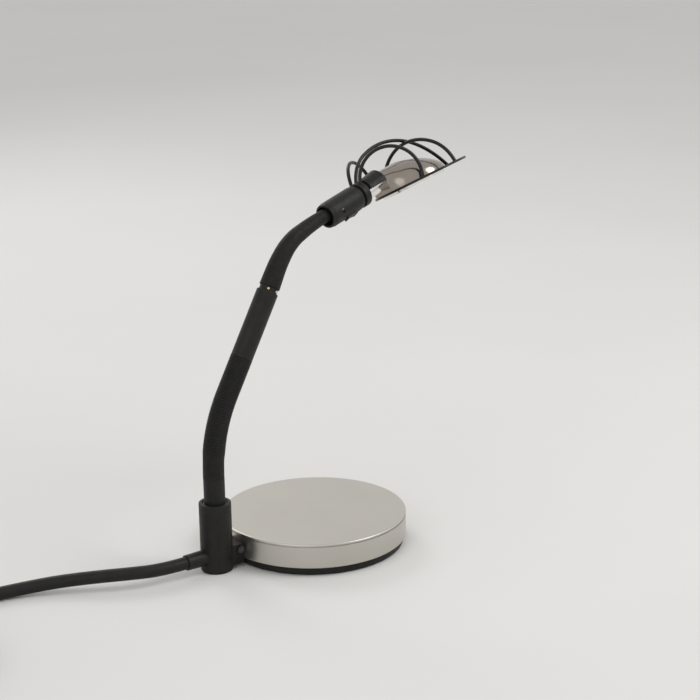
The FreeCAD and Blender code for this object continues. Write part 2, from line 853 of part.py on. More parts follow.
def barrel_form(label):
    web_bore = size.boot_tip_radius + size.slide_clearance
    return turned(label, [
        (size.barrel_cup_radius, 0), (size.barrel_mouth_radius, 0),
        (size.barrel_radius, size.barrel_mouth_taper),
        (size.barrel_radius, size.barrel_length - size.barrel_nose_taper),
        (size.barrel_nose_radius, size.barrel_length),
        (nose_bore, size.barrel_length), (nose_bore, nose), (size.barrel_cavity_radius, nose),
        (size.barrel_cavity_radius, web_top), (web_bore, web_top), (web_bore, size.barrel_cup_depth),
        (size.barrel_cup_radius, size.barrel_cup_depth)],
        rounds=[(size.barrel_nose_radius, size.barrel_length, size.barrel_edge_round)])


def barrel_screw_cylinders(radius, height, low):
    return [cylinder(radius, height, low, side * size.barrel_screw_spread, size.barrel_screw_place,
                     Vector(1, 0, 0)) for side in (-1, 1)]


def barrel_screw_shanks():
    length = size.barrel_screw_depth + size.barrel_screw_seat
    return barrel_screw_cylinders(size.barrel_screw_radius, length, -size.barrel_screw_depth)


def half_space(side):
    """Large block on one side of the barrel's split."""
    width = 4 * size.barrel_radius
    start = 0 if side > 0 else -width
    return block(width, width, 2 * size.barrel_length, start, -width / 2, -size.barrel_length / 2)


def make_barrel():
    upper = cut(common(barrel_form("barrel_upper"), half_space(-1)), *barrel_screw_shanks())
    keep("barrel_upper", upper, BARREL)
    recess = barrel_screw_cylinders(size.barrel_screw_head_radius + size.slide_clearance,
                                    size.barrel_radius, size.barrel_screw_seat)
    window = middle_block(size.barrel_radius, size.rocker_width + 4 * size.slide_clearance,
                          size.rocker_length + 4 * size.moving_gap, size.barrel_radius, 0,
                          switch_place - size.rocker_length / 2 - 2 * size.moving_gap)
    pin = switch_pin_cylinder(size.switch_pin_radius)
    half = common(barrel_form("barrel_lower"), half_space(1))
    keep("barrel_lower", cut(half, window, pin, *barrel_screw_shanks(), *recess), BARREL)


def make_barrel_screws():
    heads = barrel_screw_cylinders(size.barrel_screw_head_radius, size.barrel_screw_head_height,
                                   size.barrel_screw_seat)
    screws = [joined(*pair) for pair in zip(barrel_screw_shanks(), heads)]
    keep("barrel_screws", group(*screws), BARREL)


neck_flange_top = -(size.barrel_nose_length + size.slide_clearance)
neck_flange_bottom = neck_flange_top - size.neck_flange_thickness
switch_body_low = web_top + size.switch_front_gap
switch_body_high = size.barrel_length + neck_flange_bottom - size.switch_back_gap
switch_body_length = switch_body_high - switch_body_low
switch_place = switch_body_low + switch_body_length / 2


def switch_pin_cylinder(radius):
    return cylinder(radius, size.switch_pin_length, size.switch_pivot_height,
                    -size.switch_pin_length / 2, switch_place, Vector(0, 1, 0))


def make_switch():
    body_middle = size.switch_body_top - size.switch_body_height / 2
    keep("switch_body", middle_block(size.switch_body_height, size.switch_body_width,
                                     switch_body_length, body_middle, 0, switch_body_low), BARREL)
    keep("switch_pin", switch_pin_cylinder(size.switch_pin_radius), BARREL)
    half = mm.rocker_length / 2
    keel = mm.rocker_keel_half
    profile = [(mm.rocker_crown, half), (mm.rocker_valley, 0), (mm.rocker_crown, -half),
               (-mm.rocker_edge_depth, -half), (-mm.rocker_keel_depth, -keel),
               (-mm.rocker_keel_depth, keel), (-mm.rocker_edge_depth, half)]
    corners = [Vector(x, -mm.rocker_width / 2, z) for x, z in profile]
    face = Part.Face(Part.makePolygon(corners + corners[:1]))
    rocker = face.extrude(Vector(0, mm.rocker_width, 0))
    hole = Part.makeCylinder(mm.switch_pin_radius + mm.running_clearance, mm.rocker_width,
                             Vector(0, -mm.rocker_width / 2, 0), Vector(0, 1, 0))
    rocker = rocker.cut(hole)
    rocker.rotate(ORIGIN, Vector(0, 1, 0), -mm.rocker_tilt)
    pivot = Vector(mm.switch_pivot_height, 0, float(switch_place))
    keep("switch_rocker", shaped(rocker), BARREL * Placement(pivot, Rotation()))


# Neck tube and head; the head's own frame has X away from the neck and Z out of the plate's back

roll = math.radians(mm.head_roll)
tilt = math.radians(mm.head_tilt)
rolled_up = neck_up * math.cos(roll) + LEFT * math.sin(roll)
head_out = barrel_axis * math.cos(tilt) - rolled_up * math.sin(tilt)
head_up = rolled_up * math.cos(tilt) + barrel_axis * math.sin(tilt)
head_reach = mm.neck_length - mm.neck_overlap + mm.plate_radius
plate_middle = barrel_end + head_out * head_reach - head_up * mm.head_drop
HEAD = frame_at(plate_middle, head_up, head_out)
NECK_IN_HEAD = HEAD.inverse() * NECK


def make_neck_tube():
    bore = size.neck_spigot_radius - size.neck_wall
    keep("neck_tube", turned("neck_tube", [
        (bore, neck_flange_bottom), (size.neck_flange_radius, neck_flange_bottom),
        (size.neck_flange_radius, neck_flange_top), (size.neck_spigot_radius, neck_flange_top),
        (size.neck_spigot_radius, size.moving_gap), (size.neck_radius, size.moving_gap),
        (size.neck_radius, size.neck_length), (bore, size.neck_length)]), NECK)


plate_back = mm.plate_thickness / 2

# sections of the reflector across the head, as shares of its length, half width and height
SHELL_FORM = [
    (0.0, 0.36, 0.925),
    (0.07, 0.465, 0.957),
    (0.18, 0.673, 0.98),
    (0.384, 0.939, 1.0),
    (0.586, 1.0, 0.87),
    (0.788, 0.878, 0.613),
    (0.93, 0.571, 0.344),
    (1.0, 0.204, 0.16),
]
shell_rear = -(mm.plate_radius + mm.shell_overhang)
shell_solid_end = -(mm.plate_radius - mm.neck_overlap - mm.shell_web)
SHELL_SECTIONS = [(shell_rear + along * mm.shell_length, across * mm.shell_half_width,
                   up * mm.shell_height) for along, across, up in SHELL_FORM]


def half_ellipse(place, half_width, height, base):
    """Closed half ellipse across the head, standing on the plate's back."""
    left = Vector(place, half_width, base)
    right = Vector(place, -half_width, base)
    top = Vector(place, 0, base + height)
    middle = Vector(place, 0, base)
    if half_width >= height:
        curve = Part.Ellipse(left, top, middle)
    else:
        curve = Part.Ellipse(top, left, middle)
    ends = sorted(curve.parameter(point) for point in (left, right))
    arc = curve.toShape(ends[0], ends[1])
    if arc.valueAt((arc.FirstParameter + arc.LastParameter) / 2).z < base:
        arc = curve.toShape(ends[1], ends[0] + 2 * math.pi)
    first = arc.Vertexes[0].Point
    last = arc.Vertexes[-1].Point
    return Part.Wire([arc, Part.makeLine(last, first)])


def make_reflector_shell():
    outer = Part.makeLoft([half_ellipse(*section, plate_back) for section in SHELL_SECTIONS], True)
    wall = mm.shell_wall
    inner_sections = []
    for place, half_width, height in SHELL_SECTIONS[1:]:
        shift = wall if place > 0 else 0.0
        inner_sections.append(half_ellipse(place - shift, half_width - wall, height - wall, plate_back))
    inner = Part.makeLoft(inner_sections, True)
    front_of_block = Part.makeBox(FAR, FAR, FAR, Vector(shell_solid_end, -FAR / 2, -FAR / 2))
    hollow = inner.common(front_of_block)
    hole_depth = mm.neck_length + mm.shell_web
    neck_hole = Part.makeCylinder(mm.neck_radius + mm.running_clearance, hole_depth)
    neck_hole.Placement = NECK_IN_HEAD
    shell = outer.cut(hollow).cut(neck_hole)
    solids = sorted(shell.Solids, key=lambda solid: solid.Volume)
    keep("reflector_shell", shaped(solids[-1]), HEAD)


def make_plate_and_lens():
    bottom = -size.plate_thickness / 2
    disc = turned("guard_plate", [
        (0, bottom), (size.plate_radius, bottom), (size.plate_radius, size.plate_thickness / 2),
        (0, size.plate_thickness / 2)],
        rounds=[(size.plate_radius, bottom, size.plate_edge_round),
                (size.plate_radius, size.plate_thickness / 2, size.plate_edge_round)])
    opening = cylinder(size.light_opening_radius, 4 * size.plate_thickness,
                       -size.light_opening_offset, 0, -2 * size.plate_thickness)
    keep("guard_plate", cut(disc, opening), HEAD)
    lens_radius = size.light_opening_radius + size.lens_overlap
    lens = cylinder(lens_radius, size.lens_thickness)
    lens_place = HEAD * Placement(Vector(-mm.light_opening_offset, 0, 0), Rotation())
    lens_bottom = Vector(0, 0, -plate_back - mm.lens_thickness)
    keep("lens_glass", lens, lens_place * Placement(lens_bottom, Rotation()))
    rim = lens_radius + size.slide_clearance
    outer = rim + size.lens_ring_wall
    lip_top = bottom - size.lens_thickness - size.slide_clearance
    lip_bottom = lip_top - size.lens_ring_lip
    ring = turned("lens_ring", [
        (rim, bottom), (outer, bottom), (outer, lip_bottom), (outer - size.lens_ring_width, lip_bottom),
        (outer - size.lens_ring_width, lip_top), (rim, lip_top)],
        rounds=[(outer, lip_bottom, size.lens_ring_round)])
    keep("lens_ring", ring, lens_place)


def make_lamp():
    holder_bottom = size.capsule_height - size.holder_height / 2
    holder = middle_block(size.holder_length, size.holder_width, size.holder_height,
                          shell_solid_end + size.holder_length / 2, 0, holder_bottom)
    keep("lamp_holder", holder, HEAD)
    start = shell_solid_end + mm.holder_length
    shoulder = size.capsule_stem_length + size.capsule_shoulder
    tip = size.capsule_length - size.capsule_tip_length
    capsule = turned("halogen_capsule", [
        (0, 0), (size.capsule_stem_radius, 0), (size.capsule_stem_radius, size.capsule_stem_length),
        (size.capsule_radius, shoulder), (size.capsule_radius, tip),
        (size.capsule_stem_radius, size.capsule_length - size.capsule_tip_point),
        (0, size.capsule_length)],
        rounds=[(size.capsule_radius, tip, size.capsule_round)])
    keep("halogen_capsule", capsule,
         HEAD * frame_at(Vector(start, 0, mm.capsule_height), Vector(1, 0, 0), Vector(0, 1, 0)))


# Wire guard

def make_guard_collar():
    end = size.guard_collar_start + size.guard_collar_width
    bore = size.neck_radius + size.running_clearance
    keep("guard_collar", turned("guard_collar", [
        (bore, size.guard_collar_start), (size.guard_collar_radius, size.guard_collar_start),
        (size.guard_collar_radius, end), (bore, end)],
        rounds=[(size.guard_collar_radius, size.guard_collar_start, size.guard_collar_round),
                (size.guard_collar_radius, end, size.guard_collar_round)]), NECK)


def make_guard_cowl():
    """Short flared cover over the upper side of the neck."""
    end = size.neck_length - size.neck_overlap - size.cowl_gap
    wide = size.cowl_radius + size.cowl_flare
    bore = size.neck_radius + size.running_clearance
    form = turned("guard_cowl", [
        (bore, size.cowl_start), (size.cowl_radius, size.cowl_start), (wide, end), (bore, end)])
    upper = block(2 * wide, 2 * wide, 2 * end, 0, -wide, 0)
    place = frame_at(barrel_end, barrel_axis, head_up)
    keep("guard_cowl", common(form, upper), place)


COLLAR_IN_HEAD = NECK_IN_HEAD.multVec(Vector(0, 0, mm.guard_collar_start + mm.guard_collar_width / 2))


def rim_point(turn, height=0.0):
    """Foot of a guard wire on the plate; the wires run below its back and are trimmed there."""
    x, y = polar(mm.plate_radius - mm.wire_inset, turn)
    return Vector(x, y, height)


def wire_along(edges):
    """Round wire along edges, trimmed at the plate's back and at the guard collar."""
    path = Part.Wire(edges)
    start = path.OrderedEdges[0]
    point = start.valueAt(start.FirstParameter)
    profile = Part.Wire(Part.makeCircle(mm.wire_radius, point, start.tangentAt(start.FirstParameter)))
    wire = path.makePipeShell([profile], True, False)
    below = Part.makeBox(FAR, FAR, FAR, Vector(-FAR / 2, -FAR / 2, plate_back - FAR))
    collar_end = mm.guard_collar_start + mm.guard_collar_width
    collar = Part.makeCylinder(mm.guard_collar_radius, FAR, Vector(0, 0, collar_end - FAR))
    collar.Placement = NECK_IN_HEAD
    trimmed = wire.cut(below).cut(collar)
    return sorted(trimmed.Solids, key=lambda solid: solid.Volume)[-1]


def arc(first, middle, last):
    return Part.Arc(first, middle, last).toShape()


SPINE_FOOT_TURN = 6.5

# points of the spine: shares of the way to its foot and of its height
SPINE_FORM = [(0.08, 0.72), (0.24, 0.943), (0.46, 0.992), (0.73, 0.762), (0.90, 0.37)]


def spine_point(share, height):
    """Point over the line from the guard collar to the spine's foot."""
    start = Vector(COLLAR_IN_HEAD.x, COLLAR_IN_HEAD.y, 0)
    foot = rim_point(SPINE_FOOT_TURN)
    return start + (foot - start) * share + Vector(0, 0, height)


def make_spine_wire():
    """Long wire over the head, from the guard collar to the far rim of the plate."""
    points = [spine_point(0.0, COLLAR_IN_HEAD.z + mm.spine_root_rise)]
    points += [spine_point(share, rise * mm.spine_height) for share, rise in SPINE_FORM]
    points.append(rim_point(SPINE_FOOT_TURN, -mm.wire_foot_depth))
    arcs = [arc(*points[first:first + 3]) for first in (0, 2, 4)]
    keep("guard_spine_wire", shaped(wire_along(arcs)), HEAD)


def make_cross_hoop():
    """Flat-topped half round across the head, between two points of the plate's rim."""
    near = rim_point(mm.hoop_near_angle, -mm.wire_foot_depth)
    far = rim_point(mm.hoop_far_angle, -mm.wire_foot_depth)
    across = (far - near).normalize()
    crown = (near + far) * 0.5 + UP * (mm.hoop_height + mm.wire_foot_depth)
    arcs = biarc(near, UP, crown, across) + biarc(crown, across, far, -UP)
    keep("guard_cross_hoop", shaped(wire_along(arcs)), HEAD)


SIDE_HOOP_CROWN = 0.52


def make_side_hoop(label, side):
    """Wire from the guard collar down to the rim beside the neck, highest about half way."""
    foot = rim_point(side * mm.side_hoop_angle, -mm.wire_foot_depth)
    root = COLLAR_IN_HEAD + Vector(0, side * mm.side_hoop_root, mm.side_hoop_root)
    top = root + (foot - root) * SIDE_HOOP_CROWN
    top.z = mm.side_hoop_height
    keep(label, shaped(wire_along([arc(root, top, foot)])), HEAD)


# Mains cord. The free stretch goes through points chosen by hand: how far each is from the end of
# the strain relief, how far to the side, and how much higher than a cord that lies on the table.

cord_lying = mm.cord_radius + mm.cord_lift
relief_end = -(float(sleeve_offset) + mm.relief_reach)
CORD_POINTS = [
    (17.6, 0.0, 5.85),
    (35.6, 6.3, 6.15),
    (54.6, 17.5, 5.25),
    (74.6, 31.0, 2.85),
    (94.6, 39.6, 0.75),
    (113.6, 43.6, 0.15),
    (133.6, 45.6, 0.0),
    (156.6, 46.0, 0.0),
    (179.6, 44.6, 0.0),
    (201.6, 44.6, 0.0),
]
CORD_ROUTE = [Vector(relief_end, 0, mm.relief_height)]
CORD_ROUTE += [Vector(relief_end - away, side, cord_lying + rise) for away, side, rise in CORD_POINTS]
ARC_SHARE = 0.45


def make_strain_relief():
    """Tapered boss that the cord leaves by, with a neck through the sleeve's wall."""
    taper = doc.addObject("Part::Cone", "taper")
    set_size(taper, "Radius1", size.relief_radius)
    set_size(taper, "Radius2", size.relief_tip_radius)
    set_size(taper, "Height", size.relief_reach)
    taper.Placement = Placement(Vector(0, 0, mm.relief_height), Rotation(UP, Vector(-1, 0, 0)))
    outside = cut(taper, cylinder(size.sleeve_radius, FAR))
    neck = cylinder(size.relief_neck_radius, size.sleeve_radius, -size.relief_inside, 0,
                    size.relief_height, Vector(-1, 0, 0))
    keep("strain_relief", joined(outside, neck), Placement(SLEEVE, Rotation()))


def rounded_path(points):
    """Straight runs through points, joined by arcs as large as the shorter run allows."""
    edges = []
    radii = []
    last = points[0]
    for index in range(1, len(points) - 1):
        into = points[index] - points[index - 1]
        out = points[index + 1] - points[index]
        turn = into.getAngle(out)
        reach = ARC_SHARE * min(into.Length, out.Length)
        radii.append(reach / math.tan(turn / 2))
        into.normalize()
        out.normalize()
        start = points[index] - into * reach
        end = points[index] + out * reach
        bisector = (out - into).normalize()
        centre = points[index] + bisector * (reach / math.sin(turn / 2))
        middle = centre - bisector * radii[-1]
        edges += [Part.LineSegment(last, start).toShape(), arc(start, middle, end)]
        last = end
    edges.append(Part.LineSegment(last, points[-1]).toShape())
    return Part.Wire(edges), radii


def tube_along(path, radius):
    start = path.OrderedEdges[0]
    point = start.valueAt(start.FirstParameter)
    profile = Part.Wire(Part.makeCircle(radius, point, start.tangentAt(start.FirstParameter)))
    return path.makePipeShell([profile], True, False)


def make_mains_cord():
    path, radii = rounded_path(CORD_ROUTE)
    tube = tube_along(path, mm.cord_radius)
    print("cord bend radii", [round(radius, 1) for radius in radii])
    section = math.pi * mm.cord_radius ** 2
    share = tube.Volume / section / path.Length
    print("cord stretch", round(path.Length, 1), "volume share", round(share, 4))
    keep("mains_cord", shaped(tube))
    return path.Length


def biarc(first, first_way, last, last_way):
    """Two arcs that join two points along two unit directions."""
    chord = last - first
    both = first_way + last_way
    square = 2.0 * (first_way.dot(last_way) - 1.0)
    linear = -2.0 * chord.dot(both)
    root = math.sqrt(linear * linear - 4.0 * square * chord.dot(chord))
    reach = max((-linear + root) / (2.0 * square), (-linear - root) / (2.0 * square))
    joint = (first + last + (first_way - last_way) * reach) * 0.5
    return [arc_from(first, first_way, joint), arc_from(last, -last_way, joint, True)]


def arc_from(start, way, end, backwards=False):
    """Arc from a point along a direction to another point."""
    chord = end - start
    side = chord - way * chord.dot(way)
    side.normalize()
    radius = chord.dot(chord) / (2.0 * chord.dot(side))
    centre = start + side * radius
    middle = centre + ((start - centre) + (end - centre)).normalize() * radius
    points = (end, middle, start) if backwards else (start, middle, end)
    return Part.Arc(*points).toShape()


layer_rise = 2 * mm.cord_radius + mm.coil_turn_gap
CLIMB_TURNS = 0.5
coil_turns = 2 * mm.coil_turns_in_layer + CLIMB_TURNS


def coil_point(turns, inner):
    """Radius and height of the coil's centreline after so many turns."""
    spiral = mm.coil_turns_in_layer
    if turns <= spiral:
        return inner + (spiral - turns) * layer_rise, cord_lying
    if turns >= spiral + CLIMB_TURNS:
        return inner + (turns - spiral - CLIMB_TURNS) * layer_rise, cord_lying + layer_rise
    share = (turns - spiral) / CLIMB_TURNS
    dip = mm.coil_dip * math.sin(math.pi * share)
    return inner - dip, cord_lying + layer_rise * (1 - math.cos(math.pi * share)) / 2


def coil_place(turns, inner, centre):
    radius, height = coil_point(turns, inner)
    angle = math.pi / 2 + 2 * math.pi * turns
    return centre + Vector(radius * math.cos(angle), radius * math.sin(angle), height)


def coil_way(turns, inner, centre):
    """Direction of the coil, straight at both its ends."""
    if turns in (0, coil_turns):
        return Vector(-1, 0, 0)
    step = 0.001
    ahead = coil_place(turns + step, inner, centre)
    return (ahead - coil_place(turns - step, inner, centre)).normalize()


def coil_path(inner):
    """Centreline of the whole coil, straight for one cord diameter at each end."""
    lead = 2 * mm.cord_radius
    outer = inner + mm.coil_turns_in_layer * layer_rise
    start = CORD_ROUTE[-1]
    first = start + Vector(-lead, 0, 0)
    centre = Vector(first.x, first.y - outer, 0)
    quarters = round(coil_turns * 4)
    edges = [Part.LineSegment(start, first).toShape()]
    for number in range(quarters):
        low = number * coil_turns / quarters
        high = (number + 1) * coil_turns / quarters
        edges += biarc(coil_place(low, inner, centre), coil_way(low, inner, centre),
                       coil_place(high, inner, centre), coil_way(high, inner, centre))
    last = coil_place(coil_turns, inner, centre)
    end = last + Vector(-lead, 0, 0)
    edges.append(Part.LineSegment(last, end).toShape())
    return Part.Wire(edges), end, centre


def make_cord_coil(free_length):
    coil_length = mm.cord_length - free_length - mm.relief_reach
    inner = coil_length / (2 * math.pi * coil_turns) - mm.coil_turns_in_layer * layer_rise / 2
    inner += (coil_length - coil_path(inner)[0].Length) / (2 * math.pi * coil_turns)
    path, end, centre = coil_path(inner)
    mean = inner + mm.coil_turns_in_layer * layer_rise / 2
    tube = tube_along(path, mm.cord_radius)
    section = math.pi * mm.cord_radius ** 2
    share = tube.Volume / section / path.Length
    print("coil length", round(path.Length, 1), "volume share", round(share, 4))
    print("coil middle across", round(2 * mean, 1), "inner", round(inner, 2), "centre", centre)
    print("coil least gap", round(least_gap(path), 2))
    print("cord length", round(free_length + path.Length + mm.relief_reach, 1))
    keep("cord_coil", shaped(tube))
    return end


GAP_POINTS = 1200
NEXT_TURN_AFTER = 10 * mm.cord_radius


def least_gap(path):
    """Least gap between the coil's turns, on points about a millimetre apart."""
    points = path.discretize(Number=GAP_POINTS)
    skip = int(NEXT_TURN_AFTER / path.Length * GAP_POINTS)
    nearest = min((points[a] - points[b]).Length
                  for a in range(len(points)) for b in range(a + skip, len(points)))
    return nearest - 2 * mm.cord_radius


def make_plug(tail):
    """Two-pin moulded plug that lies on the table, with its tail towards the coil."""
    half_thickness = tail.z - 2 * mm.cord_lift
    shoulder = size.plug_tail_length + size.plug_shoulder_length
    body_start = shoulder + size.plug_shoulder_taper
    body_end = size.plug_tail_length + size.plug_body_length
    form = turned("plug", [
        (0, 0), (size.plug_tail_radius, 0),
        (size.plug_tail_radius + size.plug_tail_flare, size.plug_tail_length),
        (size.plug_half_width - size.plug_shoulder_inset, shoulder),
        (size.plug_half_width, body_start), (size.plug_half_width, body_end), (0, body_end)],
        rounds=[(size.plug_half_width, body_end, size.plug_edge_round)])
    slab = block(2 * half_thickness, 4 * size.plug_half_width, 2 * body_end,
                 -half_thickness, -2 * size.plug_half_width, -body_end / 2)
    place = frame_at(tail, Vector(-1, 0, 0), UP)
    keep("plug", common(form, slab), place)
    pins = [cylinder(size.pin_radius, size.pin_length, 0, side * size.pin_spacing / 2, body_end)
            for side in (-1, 1)]
    keep("plug_pins", group(*pins), place)


def make_everything():
    make_foot_mat()
    make_foot_cover()
    make_base_wall()
    make_base_lid()
    make_ballast()
    make_base_screws()
    make_transformer_and_terminals()
    make_bracket()
    make_bracket_screws()
    make_sleeve()
    make_sleeve_foot()
    make_stem_bush()
    make_stem_clip()
    make_gooseneck_socket()
    make_hose_segments()
    make_middle_sleeve()
    make_swivel_collar()
    make_boot_root()
    make_boot_segments()
    make_boot_tip()
    make_barrel()
    make_barrel_screws()
    make_switch()
    make_neck_tube()
    make_reflector_shell()
    make_plate_and_lens()
    make_lamp()
    make_guard_collar()
    make_guard_cowl()
    make_spine_wire()
    make_cross_hoop()
    make_side_hoop("guard_side_hoop_near", -1)
    make_side_hoop("guard_side_hoop_far", 1)
    make_strain_relief()
    free_length = make_mains_cord()
    make_plug(make_cord_coil(free_length))


def check_and_write():
    doc.recompute()
    for item in doc.Objects:
        if "Invalid" in item.State or "Error" in item.State:
            raise RuntimeError(f"{item.Label} did not build: {item.State}")
    os.makedirs("parts", exist_ok=True)
    for label, item in parts.items():
        if item.Shape.isNull() or not item.Shape.isValid() or not item.Shape.Solids:
            raise RuntimeError(f"{label} has no valid solid")
    for label, item in parts.items():
        item.Shape.exportStep(f"parts/{label}.step")
    print(len(parts), "sub-parts")


make_everything()
check_and_write()
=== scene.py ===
import json
import math

import bmesh
import bpy
from mathutils import Matrix, Vector


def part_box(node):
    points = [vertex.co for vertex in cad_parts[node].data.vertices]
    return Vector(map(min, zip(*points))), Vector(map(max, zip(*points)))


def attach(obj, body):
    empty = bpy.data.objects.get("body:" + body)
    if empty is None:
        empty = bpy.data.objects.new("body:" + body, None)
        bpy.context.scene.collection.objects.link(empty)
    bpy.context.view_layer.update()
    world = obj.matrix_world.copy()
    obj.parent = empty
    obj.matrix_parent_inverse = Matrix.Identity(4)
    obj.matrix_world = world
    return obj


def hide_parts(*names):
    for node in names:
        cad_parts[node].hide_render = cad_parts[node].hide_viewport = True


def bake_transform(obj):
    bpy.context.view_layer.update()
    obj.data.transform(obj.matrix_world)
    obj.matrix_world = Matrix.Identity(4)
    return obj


# Looks of a small gooseneck desk lamp. Everything is in metres and stands where the frame says.

MM = 0.001

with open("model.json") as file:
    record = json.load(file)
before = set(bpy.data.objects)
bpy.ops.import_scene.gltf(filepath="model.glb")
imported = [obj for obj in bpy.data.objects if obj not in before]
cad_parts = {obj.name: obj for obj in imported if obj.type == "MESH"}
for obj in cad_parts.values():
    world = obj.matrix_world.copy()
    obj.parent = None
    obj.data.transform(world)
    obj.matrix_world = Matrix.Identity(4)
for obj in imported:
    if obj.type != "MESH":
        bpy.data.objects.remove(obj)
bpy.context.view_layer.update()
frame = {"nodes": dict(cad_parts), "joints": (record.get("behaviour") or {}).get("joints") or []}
nodes = frame["nodes"]
joints = {joint["name"]: joint for joint in frame["joints"]}


# Meshes

def as_object(name, mesh, material, body, replaced=()):
    """Shown piece that rides on a body and may stand for nodes of the frame."""
    piece = bpy.data.objects.new(name, mesh)
    bpy.context.scene.collection.objects.link(piece)
    piece.data.materials.append(material)
    if body:
        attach(piece, body)
    if replaced:
        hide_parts(*replaced)
    return piece


def smooth(mesh, sharp_angle=35.0):
    mesh.shade_smooth()
    mesh.set_sharp_from_angle(angle=math.radians(sharp_angle))


def rounded(corners, steps=6):
    """Points of a closed outline of (x, y, rounding) corners, each rounded off by an arc."""
    points = []
    count = len(corners)
    for index, (x, y, *rounding) in enumerate(corners):
        here = Vector((x, y))
        if not rounding:
            points.append(here)
            continue
        back = Vector(corners[index - 1][:2]) - here
        ahead = Vector(corners[(index + 1) % count][:2]) - here
        half = back.angle(ahead) / 2
        reach = rounding[0] / math.tan(half)
        back.normalize()
        ahead.normalize()
        middle = here + (back + ahead).normalized() * (rounding[0] / math.sin(half))
        first = here + back * reach - middle
        last = here + ahead * reach - middle
        sweep = first.angle_signed(last)
        for step in range(steps + 1):
            turn = -sweep * step / steps
            arm = Vector((first.x * math.cos(turn) - first.y * math.sin(turn),
                          first.x * math.sin(turn) + first.y * math.cos(turn)))
            points.append(middle + arm)
    return points


def turned_mesh(name, corners, sides=128):
    """Solid turned about Z from a closed outline of (radius, height, rounding) corners."""
    outline = rounded(corners)
    form = bmesh.new()
    rings = []
    for point in outline:
        if point.x < 1e-7:
            rings.append([form.verts.new((0, 0, point.y))])
            continue
        turns = [2 * math.pi * side / sides for side in range(sides)]
        rings.append([form.verts.new((point.x * math.cos(turn), point.x * math.sin(turn), point.y))
                      for turn in turns])
    join_rings(form, rings + rings[:1])
    return finished(name, form)


def join_rings(form, rings):
    """Faces between neighbouring rings; a ring may be a single point."""
    for low, high in zip(rings, rings[1:]):
        sides = max(len(low), len(high))
        if sides == 1:
            continue
        for side in range(sides):
            after = (side + 1) % sides
            corners = [low[side % len(low)], low[after % len(low)],
                       high[after % len(high)], high[side % len(high)]]
            distinct = list(dict.fromkeys(corners))
            if len(distinct) > 2:
                form.faces.new(distinct)


def finished(name, form):
    bmesh.ops.recalc_face_normals(form, faces=form.faces)
    mesh = bpy.data.meshes.new(name)
    form.to_mesh(mesh)
    form.free()
    smooth(mesh)
    return mesh


def frame_at(origin, z_direction, x_direction):
    """Matrix with its own Z and X along two directions, the second as near as it can be."""
    z = z_direction.normalized()
    y = z.cross(x_direction).normalized()
    x = y.cross(z)
    return Matrix.Translation(origin) @ Matrix((x, y, z)).transposed().to_4x4()


# Materials

class Shading:
    """A material whose shader takes its detail from procedural textures."""

    def __init__(self, name, colour, metallic=0.0, roughness=0.5, specular=0.5):
        self.material = bpy.data.materials.new(name)
        self.material.use_nodes = True
        self.tree = self.material.node_tree
        self.shader = self.tree.nodes["Principled BSDF"]
        self.shader.inputs["Base Color"].default_value = (*colour, 1.0)
        self.shader.inputs["Metallic"].default_value = metallic
        self.shader.inputs["Roughness"].default_value = roughness
        self.shader.inputs["Specular IOR Level"].default_value = specular
        self.place = self.node("ShaderNodeTexCoord").outputs["Object"]

    def node(self, kind):
        return self.tree.nodes.new(kind)

    def link(self, source, target):
        self.tree.links.new(source, target)

    def noise(self, size, detail=3.0):
        """Noise whose features are about this many metres across."""
        texture = self.node("ShaderNodeTexNoise")
        texture.inputs["Scale"].default_value = 1.0 / size
        texture.inputs["Detail"].default_value = detail
        self.link(self.place, texture.inputs["Vector"])
        return texture.outputs["Fac"]

    def ranged(self, value, low, high, from_low=0.3, from_high=0.7):
        spread = self.node("ShaderNodeMapRange")
        spread.inputs["From Min"].default_value = from_low
        spread.inputs["From Max"].default_value = from_high
        spread.inputs["To Min"].default_value = low
        spread.inputs["To Max"].default_value = high
        self.link(value, spread.inputs["Value"])
        return spread.outputs["Result"]

    def mixed(self, factor, first, second):
        mix = self.node("ShaderNodeMix")
        mix.data_type = "RGBA"
        mix.inputs["A"].default_value = (*first, 1.0)
        mix.inputs["B"].default_value = (*second, 1.0)
        self.link(factor, mix.inputs["Factor"])
        return mix.outputs["Result"]

    def mottled(self, dark, light, size):
        """Colour that wanders between two shades."""
        colour = self.mixed(self.ranged(self.noise(size), 0.0, 1.0), dark, light)
        self.link(colour, self.shader.inputs["Base Color"])

    def uneven(self, low, high, size):
        """Roughness that wanders between two values."""
        roughness = self.ranged(self.noise(size, 4.0), low, high)
        self.link(roughness, self.shader.inputs["Roughness"])

    def grained(self, size, depth, strength):
        """Relief of this size and depth in metres."""
        bump = self.node("ShaderNodeBump")
        bump.inputs["Strength"].default_value = strength
        bump.inputs["Distance"].default_value = depth
        self.link(self.noise(size, 2.0), bump.inputs["Height"])
        self.link(bump.outputs["Normal"], self.shader.inputs["Normal"])


def satin_metal():
    """Finely blasted silver of the base."""
    shading = Shading("satin_metal", (0.55, 0.53, 0.49), metallic=1.0, roughness=0.34)
    shading.mottled((0.54, 0.52, 0.48), (0.56, 0.54, 0.50), 30 * MM)
    shading.uneven(0.31, 0.38, 0.9 * MM)
    shading.grained(0.22 * MM, 0.02 * MM, 0.5)
    return shading.material


def polished_metal():
    shading = Shading("polished_metal", (0.78, 0.77, 0.74), metallic=1.0, roughness=0.16)
    shading.mottled((0.74, 0.73, 0.70), (0.82, 0.81, 0.78), 9 * MM)
    shading.uneven(0.10, 0.22, 2.5 * MM)
    shading.grained(0.5 * MM, 0.01 * MM, 0.25)
    return shading.material


